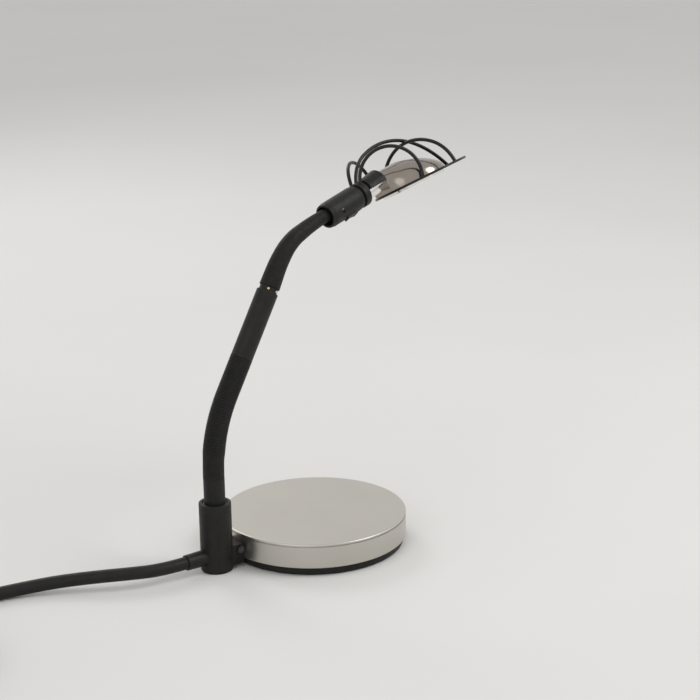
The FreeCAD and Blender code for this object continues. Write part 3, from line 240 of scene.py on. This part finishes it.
def mirror_with_painted_reflection():
    """Polished metal of the reflector, its colour darkened to brown as a painted reflection of
    dark surroundings.
    """
    # painted reflection: the dark brown colour and its mottled shades stand in for dark
    # surroundings seen in the polished shell
    shading = Shading("mirror_with_painted_reflection", (0.30, 0.27, 0.24), metallic=1.0, roughness=0.18)
    shading.mottled((0.28, 0.25, 0.22), (0.32, 0.29, 0.26), 12 * MM)
    shading.uneven(0.14, 0.22, 3.0 * MM)
    return shading.material


def blackened_steel():
    shading = Shading("blackened_steel", (0.09, 0.088, 0.085), metallic=1.0, roughness=0.38)
    shading.mottled((0.07, 0.068, 0.065), (0.12, 0.118, 0.115), 1.0 * MM)
    shading.uneven(0.30, 0.46, 0.8 * MM)
    return shading.material


def black_plastic():
    shading = Shading("black_plastic", (0.011, 0.0105, 0.010), roughness=0.48, specular=0.25)
    shading.mottled((0.009, 0.0085, 0.008), (0.014, 0.0135, 0.013), 6 * MM)
    shading.uneven(0.40, 0.56, 1.6 * MM)
    shading.grained(0.28 * MM, 0.03 * MM, 0.55)
    return shading.material


def black_rubber():
    shading = Shading("black_rubber", (0.010, 0.0095, 0.009), roughness=0.6, specular=0.22)
    shading.mottled((0.008, 0.0075, 0.007), (0.013, 0.0125, 0.012), 5 * MM)
    shading.uneven(0.52, 0.72, 2.0 * MM)
    shading.grained(0.35 * MM, 0.025 * MM, 0.5)
    return shading.material


def wire_paint():
    """Dipped black coat of the guard wires and the plate."""
    shading = Shading("wire_paint", (0.010, 0.0095, 0.009), roughness=0.32, specular=0.3)
    shading.mottled((0.008, 0.0075, 0.007), (0.013, 0.0125, 0.012), 4 * MM)
    shading.uneven(0.22, 0.38, 1.2 * MM)
    shading.grained(0.6 * MM, 0.04 * MM, 0.45)
    return shading.material


def cast_iron():
    shading = Shading("cast_iron", (0.16, 0.155, 0.15), metallic=0.9, roughness=0.7)
    shading.mottled((0.12, 0.115, 0.11), (0.22, 0.21, 0.20), 4 * MM)
    shading.grained(1.2 * MM, 0.2 * MM, 0.8)
    return shading.material


def zinc_steel():
    shading = Shading("zinc_steel", (0.60, 0.60, 0.61), metallic=1.0, roughness=0.3)
    shading.mottled((0.52, 0.53, 0.55), (0.66, 0.66, 0.66), 2 * MM)
    shading.uneven(0.22, 0.4, 0.8 * MM)
    return shading.material


def brass():
    shading = Shading("brass", (0.72, 0.56, 0.30), metallic=1.0, roughness=0.25)
    shading.mottled((0.66, 0.50, 0.25), (0.78, 0.62, 0.35), 3 * MM)
    shading.uneven(0.18, 0.34, 1.0 * MM)
    return shading.material


def white_plastic():
    shading = Shading("white_plastic", (0.80, 0.79, 0.75), roughness=0.35)
    shading.mottled((0.76, 0.75, 0.71), (0.84, 0.83, 0.79), 6 * MM)
    shading.grained(0.4 * MM, 0.02 * MM, 0.4)
    return shading.material


def ceramic():
    shading = Shading("ceramic", (0.84, 0.83, 0.79), roughness=0.6)
    shading.mottled((0.79, 0.78, 0.73), (0.88, 0.87, 0.84), 3 * MM)
    shading.grained(0.3 * MM, 0.03 * MM, 0.5)
    return shading.material


def clear_glass():
    shading = Shading("clear_glass", (0.95, 0.965, 0.96), roughness=0.04)
    shading.shader.inputs["Transmission Weight"].default_value = 0.92
    shading.shader.inputs["IOR"].default_value = 1.47
    shading.uneven(0.02, 0.07, 6 * MM)
    return shading.material


def cord_rubber():
    """Soft black cover of the cord."""
    shading = Shading("cord_rubber", (0.011, 0.0105, 0.010), roughness=0.5, specular=0.25)
    shading.mottled((0.009, 0.0085, 0.008), (0.014, 0.0135, 0.013), 9 * MM)
    shading.uneven(0.42, 0.6, 3.0 * MM)
    shading.grained(0.5 * MM, 0.03 * MM, 0.45)
    return shading.material


SATIN = satin_metal()
POLISHED = polished_metal()
MIRROR = mirror_with_painted_reflection()
DARK_STEEL = blackened_steel()
PLASTIC = black_plastic()
RUBBER = black_rubber()
PAINT = wire_paint()
IRON = cast_iron()
STEEL = zinc_steel()
BRASS = brass()
WHITE = white_plastic()
CERAMIC = ceramic()
GLASS = clear_glass()
CORD = cord_rubber()

# nodes of the frame that keep their shape and get their finish here
NODE_FINISHES = {
    "foot_mat": RUBBER,
    "foot_cover": PLASTIC,
    "base_wall": SATIN,
    "ballast": IRON,
    "base_screws": STEEL,
    "transformer_case": WHITE,
    "terminal_block": WHITE,
    "bracket_arm": PLASTIC,
    "bracket_screws": DARK_STEEL,
    "sleeve": PLASTIC,
    "sleeve_foot": RUBBER,
    "stem_bush": WHITE,
    "stem_clip": STEEL,
    "middle_sleeve": PLASTIC,
    "swivel_collar": PLASTIC,
    "barrel_upper": PLASTIC,
    "barrel_lower": PLASTIC,
    "barrel_screws": DARK_STEEL,
    "switch_body": PLASTIC,
    "switch_pin": STEEL,
    "switch_rocker": PLASTIC,
    "neck_tube": POLISHED,
    "guard_plate": PAINT,
    "lens_glass": GLASS,
    "lamp_holder": CERAMIC,
    "halogen_capsule": GLASS,
    "guard_collar": PLASTIC,
    "guard_cowl": PLASTIC,
    "guard_spine_wire": PAINT,
    "guard_cross_hoop": PAINT,
    "guard_side_hoop_near": PAINT,
    "guard_side_hoop_far": PAINT,
    "strain_relief": PLASTIC,
    "plug": PLASTIC,
    "plug_pins": BRASS,
}


def finish_nodes():
    for name, material in NODE_FINISHES.items():
        for place in nodes[name].material_slots:
            place.material = material


# Arm: covers laid along the joints of the gooseneck

def joint_point(name):
    return Vector(joints[name]["pos_m"])


HOSE_RADIUS = 7.15 * MM
HOSE_GROOVE = 0.35 * MM
RIB_PITCH = 1.3 * MM
RIBS_START = 7.0 * MM
RIB_GROWTH = 6.0 * MM
STEM_RADIUS = 6.75 * MM
COVER_SIDES = 48

neck_names = [f"neck_{way}_{number}" for number in range(1, 5) for way in ("bend", "sway")]
boot_names = [f"boot_{way}_{number}" for number in range(1, 3) for way in ("bend", "sway")]
neck_hinges = [joint_point(name) for name in neck_names]
boot_hinges = [joint_point(name) for name in boot_names]
stem_top = joint_point("stem_swivel")
collar_point = joint_point("collar_swivel")
barrel_end = joint_point("head_roll")
anchors = [stem_top] + neck_hinges + [collar_point] + boot_hinges + [barrel_end]
runs = [0.0]
for low_anchor, high_anchor in zip(anchors, anchors[1:]):
    runs.append(runs[-1] + (high_anchor - low_anchor).length)


def anchor_way(index):
    """Direction of the centreline at an anchor, from the stretches on both sides of it."""
    if index == 0:
        return Vector((0, 0, 1))
    into = anchors[index] - anchors[index - 1]
    if index == len(anchors) - 1:
        return into.normalized()
    out = anchors[index + 1] - anchors[index]
    blended = into.normalized() * out.length + out.normalized() * into.length
    return blended.normalized()


anchor_ways = [anchor_way(index) for index in range(len(anchors))]


def arm_at(run):
    """Point and direction of the arm's centreline, by the distance from the stem's swivel."""
    index = max(0, min(len(runs) - 2, sum(1 for mark in runs[1:] if mark <= run)))
    long = runs[index + 1] - runs[index]
    t = (run - runs[index]) / long
    start, end = anchors[index], anchors[index + 1]
    start_way, end_way = anchor_ways[index] * long, anchor_ways[index + 1] * long
    point = (start * (2 * t**3 - 3 * t**2 + 1) + start_way * (t**3 - 2 * t**2 + t)
             + end * (3 * t**2 - 2 * t**3) + end_way * (t**3 - t**2))
    way = (start * (6 * t**2 - 6 * t) + start_way * (3 * t**2 - 4 * t + 1)
           + end * (6 * t - 6 * t**2) + end_way * (3 * t**2 - 2 * t))
    return point, way.normalized()


def cover_mesh(name, stations, sides=COVER_SIDES):
    """Tube along the arm through (run, radius) stations, open at both ends."""
    form = bmesh.new()
    side_way = Vector((0, 0, 1)).cross(anchor_ways[-1]).normalized()
    rings = []
    for run, radius in stations:
        point, way = arm_at(run)
        up = way.cross(side_way).normalized()
        ring = []
        for side in range(sides):
            turn = 2 * math.pi * side / sides
            out = side_way * math.cos(turn) + up * math.sin(turn)
            ring.append(form.verts.new(point + out * radius))
        rings.append(ring)
    join_rings(form, rings)
    return finished(name, form)


RIB_SHAPE = ((0.0, 1.0), (0.14, 0.55), (0.28, 0.12), (0.5, 0.0), (0.72, 0.12), (0.86, 0.55))


def hose_stations(start, end, first_rib):
    """Stations of a stretch of the hose: smooth below the first rib, ribbed above it."""
    if start < first_rib:
        stations = [(start, STEM_RADIUS)]
        steps = 4
        for step in range(1, steps):
            run = start + (min(end, first_rib) - start) * step / steps
            stations.append((run, STEM_RADIUS))
    else:
        stations = [(start, hose_radius(start, first_rib))]
    number = math.floor((start - first_rib) / RIB_PITCH)
    while first_rib + number * RIB_PITCH < end:
        for share, _ in RIB_SHAPE:
            run = first_rib + (number + share) * RIB_PITCH
            if start + 1e-6 < run < end - 1e-6 and run >= first_rib:
                stations.append((run, hose_radius(run, first_rib)))
        number += 1
    stations.append((end, hose_radius(end, first_rib)))
    return stations


def hose_radius(run, first_rib):
    """Radius of the ribbed cover, whose first ribs grow out of the smooth stem."""
    if run < first_rib:
        return STEM_RADIUS
    grown = min(1.0, (run - first_rib) / RIB_GROWTH)
    share = ((run - first_rib) / RIB_PITCH) % 1.0
    marks = list(RIB_SHAPE) + [(1.0, 1.0)]
    depth = 0.0
    for (low, low_depth), (high, high_depth) in zip(marks, marks[1:]):
        if low <= share <= high:
            depth = low_depth + (high_depth - low_depth) * (share - low) / (high - low)
    return STEM_RADIUS + grown * (HOSE_RADIUS - STEM_RADIUS - depth * HOSE_GROOVE)


def hinge_spans(first, count, whole_low, whole_high):
    """Ends of the covers of successive hinges: each runs halfway to its neighbours."""
    marks = runs[first:first + count]
    middles = [(low + high) / 2 for low, high in zip(marks, marks[1:])]
    lows = [whole_low] + middles
    highs = middles + [whole_high]
    return list(zip(lows, highs))


def bending_cover(name, mesh, joint, start, end, slot, replaced, material):
    cover = as_object(name, mesh, material, None, replaced)
    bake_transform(cover)
    return cover


HOSE_LEAD = 4.5 * MM
HOSE_TOP_LENGTH = 11.0 * MM
first_rib = runs[1] + RIBS_START
hose_spans = hinge_spans(1, 8, runs[1] - HOSE_LEAD, runs[8] + HOSE_LEAD)
hose_top = runs[8] + HOSE_TOP_LENGTH


def make_hose():
    for number, (name, span) in enumerate(zip(neck_names, hose_spans), start=1):
        mesh = cover_mesh(f"hose_cover_{number}", hose_stations(*span, first_rib))
        bending_cover(f"hose_cover_{number}", mesh, name, *span, "black_plastic",
                      [f"hose_segment_{number}"], RUBBER)
    mesh = cover_mesh("hose_cover_top", hose_stations(hose_spans[-1][1], hose_top, first_rib))
    as_object("hose_cover_top", mesh, RUBBER, "middle")


BOOT_ROOT_RADIUS = 6.75 * MM
BOOT_TIP_RADIUS = 4.35 * MM
BOOT_LEAD = 4.25 * MM
BOOT_SEAT = 7.0 * MM
BOOT_RIM = 0.8 * MM
# rounded lower rim of the boot: share of its length, and depth below the boot's surface
BOOT_RIM_SHAPE = ((0.0, 1.6 * MM), (0.0, 0.45 * MM), (0.15, 0.15 * MM), (0.5, 0.0))
BARREL_LENGTH = 30.3 * MM
boot_start = runs[9]
boot_end = runs[-1] - BARREL_LENGTH


def boot_radius(run):
    share = (run - boot_start) / (boot_end - boot_start)
    return BOOT_ROOT_RADIUS + share * (BOOT_TIP_RADIUS - BOOT_ROOT_RADIUS)


def boot_stations(start, end, count=9):
    places = [start + (end - start) * step / count for step in range(count + 1)]
    return [(run, boot_radius(run)) for run in places]


boot_spans = hinge_spans(10, 4, runs[10] - BOOT_LEAD, runs[13] + BOOT_LEAD)


def make_boot():
    """Smooth tapered rubber boot in stretches along the upper gooseneck."""
    root = [(boot_start + along * BOOT_RIM, BOOT_ROOT_RADIUS - depth)
            for along, depth in BOOT_RIM_SHAPE]
    root += boot_stations(boot_start + BOOT_RIM, boot_spans[0][0])
    mesh = cover_mesh("boot_cover_root", root)
    as_object("boot_cover_root", mesh, RUBBER, "boot", ["boot_root"])
    for number, (name, span) in enumerate(zip(boot_names, boot_spans), start=1):
        mesh = cover_mesh(f"boot_cover_{number}", boot_stations(*span, 12))
        replaced = [f"boot_segment_{number}"] if number < len(boot_names) else ["boot_tip"]
        bending_cover(f"boot_cover_{number}", mesh, name, *span, "black_rubber", replaced, RUBBER)
    mesh = cover_mesh("boot_cover_tip", boot_stations(boot_spans[-1][1], boot_end + BOOT_SEAT))
    as_object("boot_cover_tip", mesh, RUBBER, "barrel")


# Stem, lid and the pins of the swivel collar

STEM_BORE = 3.0 * MM
STEM_FLANGE_RADIUS = 7.7 * MM
STEM_FLANGE_LOW = 43.7 * MM
STEM_FLANGE_HIGH = 45.2 * MM


def make_stem():
    """Stem that stands in the sleeve, up to the first stretch of the hose."""
    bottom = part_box("gooseneck_socket")[0][2]
    top = neck_hinges[0].z - HOSE_LEAD
    mesh = turned_mesh("gooseneck_stem", [
        (STEM_BORE, bottom), (STEM_RADIUS, bottom), (STEM_RADIUS, STEM_FLANGE_LOW),
        (STEM_FLANGE_RADIUS, STEM_FLANGE_LOW), (STEM_FLANGE_RADIUS, STEM_FLANGE_HIGH, 0.4 * MM),
        (STEM_RADIUS, STEM_FLANGE_HIGH), (STEM_RADIUS, top), (STEM_BORE, top)])
    mesh.transform(Matrix.Translation((stem_top.x, stem_top.y, 0.0)))
    as_object("gooseneck_stem", mesh, PLASTIC, "stem", ["gooseneck_socket"])


LID_SEAM = 0.5 * MM
LID_SEAM_DEPTH = 0.7 * MM
LID_SPIGOT_RADIUS = 58.1 * MM
LID_SPIGOT_WALL = 2.0 * MM
LID_EDGE_ROUND = 0.8 * MM
LID_SIDES = 256


def make_lid():
    """Flat lid with a rounded rim over the dark seam above the base's wall."""
    low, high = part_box("base_lid")
    wall_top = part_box("base_wall")[1][2]
    radius, top = high[0], high[2]
    seam_radius = radius - LID_SEAM_DEPTH
    spigot_inner = LID_SPIGOT_RADIUS - LID_SPIGOT_WALL
    mesh = turned_mesh("lid", [
        (0.0, wall_top), (spigot_inner, wall_top), (spigot_inner, low[2]),
        (LID_SPIGOT_RADIUS, low[2]), (LID_SPIGOT_RADIUS, wall_top), (seam_radius, wall_top),
        (seam_radius, wall_top + LID_SEAM), (radius, wall_top + LID_SEAM, 0.15 * MM),
        (radius, top, LID_EDGE_ROUND), (radius - 1.5 * LID_EDGE_ROUND, top), (0.0, top)],
        LID_SIDES)
    as_object("lid", mesh, SATIN, "base", ["base_lid"])


COLLAR_RADIUS = 5.9 * MM
COLLAR_BACK = 1.8 * MM
PIN_TURNS = (132.0, 193.0)
PIN_RADIUS = 0.85 * MM
PIN_HEIGHT = 0.5 * MM


def make_collar_pins():
    """Two small brass pins around the swivel collar."""
    point, way = arm_at(runs[9] - COLLAR_BACK)
    side_way = Vector((0, 0, 1)).cross(anchor_ways[-1]).normalized()
    up = way.cross(side_way).normalized()
    for number, turn in enumerate(PIN_TURNS, start=1):
        out = side_way * math.cos(math.radians(turn)) + up * math.sin(math.radians(turn))
        mesh = turned_mesh(f"collar_pin_{number}", [
            (0.0, -PIN_HEIGHT), (PIN_RADIUS, -PIN_HEIGHT), (PIN_RADIUS, PIN_HEIGHT, 0.3 * MM),
            (0.0, PIN_HEIGHT)], 32)
        mesh.transform(frame_at(point + out * COLLAR_RADIUS, out, way))
        as_object(f"collar_pin_{number}", mesh, BRASS, "middle")


# Head: reflector and lens ring, in a frame with X away from the neck and Z out of the plate's back

HEAD_ROLL = 27.0
HEAD_TILT = 4.7
HEAD_DROP = 7.45 * MM
HEAD_REACH = 57.4 * MM
PLATE_BACK = 0.8 * MM


def head_frame():
    axis = anchor_ways[-1]
    left = Vector((0, 0, 1)).cross(axis).normalized()
    roll = math.radians(HEAD_ROLL)
    tilt = math.radians(HEAD_TILT)
    rolled_up = axis.cross(left) * math.cos(roll) + left * math.sin(roll)
    out = axis * math.cos(tilt) - rolled_up * math.sin(tilt)
    up = rolled_up * math.cos(tilt) + axis * math.sin(tilt)
    return frame_at(barrel_end + out * HEAD_REACH - up * HEAD_DROP, up, out)


HEAD = head_frame()

REFLECTOR_REAR = -35.0 * MM
REFLECTOR_HOLLOW = -29.0 * MM
REFLECTOR_LENGTH = 49.5 * MM
REFLECTOR_HALF_WIDTH = 24.5 * MM
REFLECTOR_HEIGHT = 16.3 * MM
REFLECTOR_WALL = 1.0 * MM
REFLECTOR_STATIONS = 48
REFLECTOR_ARC = 40

# sections of the reflector: shares of its length, half width and height
REFLECTOR_FORM = (
    (0.0, 0.36, 0.925), (0.07, 0.465, 0.957), (0.18, 0.673, 0.98), (0.384, 0.939, 1.0),
    (0.586, 1.0, 0.87), (0.788, 0.878, 0.613), (0.93, 0.571, 0.344), (1.0, 0.204, 0.16))


def reflector_shares(share):
    """Shares of the half width and height, on a smooth curve through the sections."""
    form = REFLECTOR_FORM
    index = max(0, min(len(form) - 2, sum(1 for row in form[1:] if row[0] <= share)))
    low, high = form[index], form[index + 1]
    before, after = form[max(0, index - 1)], form[min(len(form) - 1, index + 2)]
    span = high[0] - low[0]
    t = (share - low[0]) / span
    shares = []
    for row in (1, 2):
        low_slope = (high[row] - before[row]) / (high[0] - before[0]) * span
        high_slope = (after[row] - low[row]) / (after[0] - low[0]) * span
        shares.append(low[row] * (2 * t**3 - 3 * t**2 + 1) + low_slope * (t**3 - 2 * t**2 + t)
                      + high[row] * (3 * t**2 - 2 * t**3) + high_slope * (t**3 - t**2))
    return shares


def reflector_rings(form, start, end, wall):
    """Half ellipses across the reflector from one place along it to another."""
    rings = []
    for station in range(REFLECTOR_STATIONS + 1):
        place = start + (end - start) * station / REFLECTOR_STATIONS
        across, up = reflector_shares((place + wall - REFLECTOR_REAR) / REFLECTOR_LENGTH)
        half_width = across * REFLECTOR_HALF_WIDTH - wall
        height = up * REFLECTOR_HEIGHT - wall
        turns = [math.pi * step / REFLECTOR_ARC for step in range(REFLECTOR_ARC + 1)]
        rings.append([form.verts.new((place, half_width * math.cos(turn),
                                      PLATE_BACK + height * math.sin(turn))) for turn in turns])
    return rings


def make_reflector():
    """Smooth shell over the lamp, open towards the plate."""
    form = bmesh.new()
    front = REFLECTOR_REAR + REFLECTOR_LENGTH
    outer = reflector_rings(form, REFLECTOR_REAR, front, 0.0)
    inner = reflector_rings(form, REFLECTOR_HOLLOW, front - REFLECTOR_WALL, REFLECTOR_WALL)
    for rings in (outer, inner):
        for low, high in zip(rings, rings[1:]):
            for step in range(REFLECTOR_ARC):
                form.faces.new((low[step], low[step + 1], high[step + 1], high[step]))
        form.faces.new(rings[0])
        form.faces.new(rings[-1])
    for end in (0, -1):
        for station in range(REFLECTOR_STATIONS):
            form.faces.new((outer[station][end], outer[station + 1][end],
                            inner[station + 1][end], inner[station][end]))
        form.faces.new((outer[end][0], outer[end][-1], inner[end][-1], inner[end][0]))
    mesh = finished("reflector", form)
    mesh.transform(HEAD)
    as_object("reflector", mesh, MIRROR, "head", ["reflector_shell"])


LENS_OFFSET = -8.0 * MM
RIM_INNER = 19.9 * MM
RIM_BORE = 21.3 * MM
RIM_OUTER = 22.2 * MM
RIM_LIP = 2.1 * MM
RIM_BOTTOM = 2.4 * MM


def make_lens_rim():
    """Slim bright ring that holds the glass under the plate."""
    mesh = turned_mesh("lens_rim", [
        (RIM_BORE, -PLATE_BACK), (RIM_OUTER, -PLATE_BACK), (RIM_OUTER, -RIM_BOTTOM, 0.25 * MM),
        (RIM_INNER, -RIM_BOTTOM), (RIM_INNER, -RIM_LIP), (RIM_BORE, -RIM_LIP)])
    mesh.transform(HEAD @ Matrix.Translation((LENS_OFFSET, 0.0, 0.0)))
    as_object("lens_rim", mesh, POLISHED, "head", ["lens_ring"])


# Mains cord

CORD_RADIUS = 4.1 * MM
CORD_ROUTE = [
    (-98.4, 0.0, 10.0),
    (-116.0, 0.0, 10.0),
    (-134.0, 6.3, 10.3),
    (-153.0, 17.5, 9.4),
    (-173.0, 31.0, 7.0),
    (-193.0, 39.6, 4.9),
    (-212.0, 43.6, 4.3),
    (-232.0, 45.6, 4.15),
    (-255.0, 46.0, 4.15),
    (-278.0, 44.6, 4.15),
    (-300.0, 44.6, 4.15),
]
COIL_LEAD = 8.2
COIL_INNER = 29.94
COIL_TURNS_IN_LAYER = 2.75
COIL_CLIMB_TURNS = 0.5
COIL_STEP = 8.9
COIL_DIP = 3.0
COIL_FLOOR = 4.15
COIL_POINTS = 24


def coil_points():
    """Control points of the put-away turns: in along the table, up, and out again on top."""
    turns_in_all = 2 * COIL_TURNS_IN_LAYER + COIL_CLIMB_TURNS
    start_x = CORD_ROUTE[-1][0] - COIL_LEAD
    outer = COIL_INNER + COIL_TURNS_IN_LAYER * COIL_STEP
    centre_y = CORD_ROUTE[-1][1] - outer
    widened = 1.0 / math.cos(math.pi / COIL_POINTS)
    points = []
    for number in range(round(turns_in_all * COIL_POINTS) + 1):
        turns = number / COIL_POINTS
        if turns <= COIL_TURNS_IN_LAYER:
            radius = COIL_INNER + (COIL_TURNS_IN_LAYER - turns) * COIL_STEP
            height = COIL_FLOOR
        elif turns >= COIL_TURNS_IN_LAYER + COIL_CLIMB_TURNS:
            radius = COIL_INNER + (turns - COIL_TURNS_IN_LAYER - COIL_CLIMB_TURNS) * COIL_STEP
            height = COIL_FLOOR + COIL_STEP
        else:
            share = (turns - COIL_TURNS_IN_LAYER) / COIL_CLIMB_TURNS
            radius = COIL_INNER - COIL_DIP * math.sin(math.pi * share)
            height = COIL_FLOOR + COIL_STEP * (1 - math.cos(math.pi * share)) / 2
        angle = math.pi / 2 + 2 * math.pi * turns
        points.append((start_x + radius * widened * math.cos(angle),
                       centre_y + radius * widened * math.sin(angle), height))
    points.append((start_x - COIL_LEAD, CORD_ROUTE[-1][1], COIL_FLOOR + COIL_STEP))
    return points


def make_cord():
    curve = bpy.data.curves.new("mains_cord_run", "CURVE")
    curve.dimensions = "3D"
    curve.bevel_depth = CORD_RADIUS
    curve.bevel_resolution = 6
    curve.use_fill_caps = True
    curve.resolution_u = 6
    spline = curve.splines.new("NURBS")
    route = CORD_ROUTE + coil_points()
    spline.points.add(len(route) - 1)
    for control, (x, y, z) in zip(spline.points, route):
        control.co = (x * MM, y * MM, z * MM, 1.0)
    spline.order_u = 3
    spline.use_endpoint_u = True
    cord = as_object("mains_cord_run", curve, CORD, "base",
                     ["mains_cord", "cord_coil"])


# Setting: floor, light and camera

FLOOR_REACH = 6.0


def make_floor():
    form = bmesh.new()
    corners = [form.verts.new((x * FLOOR_REACH, y * FLOOR_REACH, 0.0))
               for x, y in ((-1, -1), (1, -1), (1, 1), (-1, 1))]
    form.faces.new(corners)
    floor_mesh = bpy.data.meshes.new("floor")
    form.to_mesh(floor_mesh)
    form.free()
    floor = bpy.data.objects.new("floor", floor_mesh)
    bpy.context.scene.collection.objects.link(floor)
    shading = Shading("floor_paper", (0.80, 0.79, 0.77), roughness=0.9)
    shading.mottled((0.79, 0.78, 0.76), (0.81, 0.80, 0.78), 0.3)
    floor.data.materials.append(shading.material)


def add_light(name, place, target, width, power):
    light = bpy.data.lights.new(name, "AREA")
    light.shape = "DISK"
    light.size = width
    light.energy = power
    lamp = bpy.data.objects.new(name, light)
    lamp.location = place
    lamp.rotation_mode = "QUATERNION"
    lamp.rotation_quaternion = (Vector(target) - Vector(place)).to_track_quat("-Z", "Y")
    bpy.context.scene.collection.objects.link(lamp)


WORLD_LIGHT = 0.62
BACKDROP = (0.80, 0.79, 0.77, 1.0)


def make_world():
    """Even white light; what is seen of it, straight or in metal and glass, is a pale backdrop."""
    world = bpy.data.worlds.new("studio")
    world.use_nodes = True
    tree = world.node_tree
    light = tree.nodes["Background"]
    light.inputs["Color"].default_value = (1.0, 1.0, 1.0, 1.0)
    light.inputs["Strength"].default_value = WORLD_LIGHT
    shown = tree.nodes.new("ShaderNodeBackground")
    shown.inputs["Color"].default_value = BACKDROP
    path = tree.nodes.new("ShaderNodeLightPath")
    seen = path.outputs["Is Camera Ray"]
    for ray in ("Is Glossy Ray", "Is Transmission Ray"):
        larger = tree.nodes.new("ShaderNodeMath")
        larger.operation = "MAXIMUM"
        tree.links.new(seen, larger.inputs[0])
        tree.links.new(path.outputs[ray], larger.inputs[1])
        seen = larger.outputs["Value"]
    mix = tree.nodes.new("ShaderNodeMixShader")
    tree.links.new(seen, mix.inputs["Fac"])
    tree.links.new(light.outputs["Background"], mix.inputs[1])
    tree.links.new(shown.outputs["Background"], mix.inputs[2])
    tree.links.new(mix.outputs["Shader"], tree.nodes["World Output"].inputs["Surface"])
    bpy.context.scene.world = world


def make_light():
    make_world()
    target = (-0.03, 0.0, 0.1)
    add_light("key", (0.7, -0.7, 1.1), target, 0.7, 6.0)
    add_light("fill", (-1.1, -0.6, 0.7), target, 0.9, 1.8)
    add_light("back", (0.1, 1.2, 0.9), target, 0.6, 3.0)


CAMERA_PLACE = (-0.69479, -0.99953, 0.50456)
CAMERA_HEADING = 36.0
CAMERA_FALL = 17.107
CAMERA_ROLL = -1.0
FOCAL_PIXELS = 2000.0
IMAGE_PIXELS = 700.0
SENSOR_WIDTH = 36.0


def make_camera():
    data = bpy.data.cameras.new("camera")
    data.sensor_width = SENSOR_WIDTH
    data.lens = SENSOR_WIDTH * FOCAL_PIXELS / IMAGE_PIXELS
    data.clip_start = 0.05
    data.clip_end = 20.0
    camera = bpy.data.objects.new("camera", data)
    bpy.context.scene.collection.objects.link(camera)
    heading = Matrix.Rotation(math.radians(-CAMERA_HEADING), 4, "Z")
    fall = Matrix.Rotation(math.radians(90.0 - CAMERA_FALL), 4, "X")
    roll = Matrix.Rotation(math.radians(CAMERA_ROLL), 4, "Z")
    camera.matrix_world = Matrix.Translation(CAMERA_PLACE) @ heading @ fall @ roll
    bpy.context.scene.camera = camera


make_camera()
make_cord()
finish_nodes()
make_hose()
make_boot()
make_stem()
make_lid()
make_collar_pins()
make_reflector()
make_lens_rim()
make_floor()
make_light()
bpy.context.scene.view_settings.view_transform = "Standard"
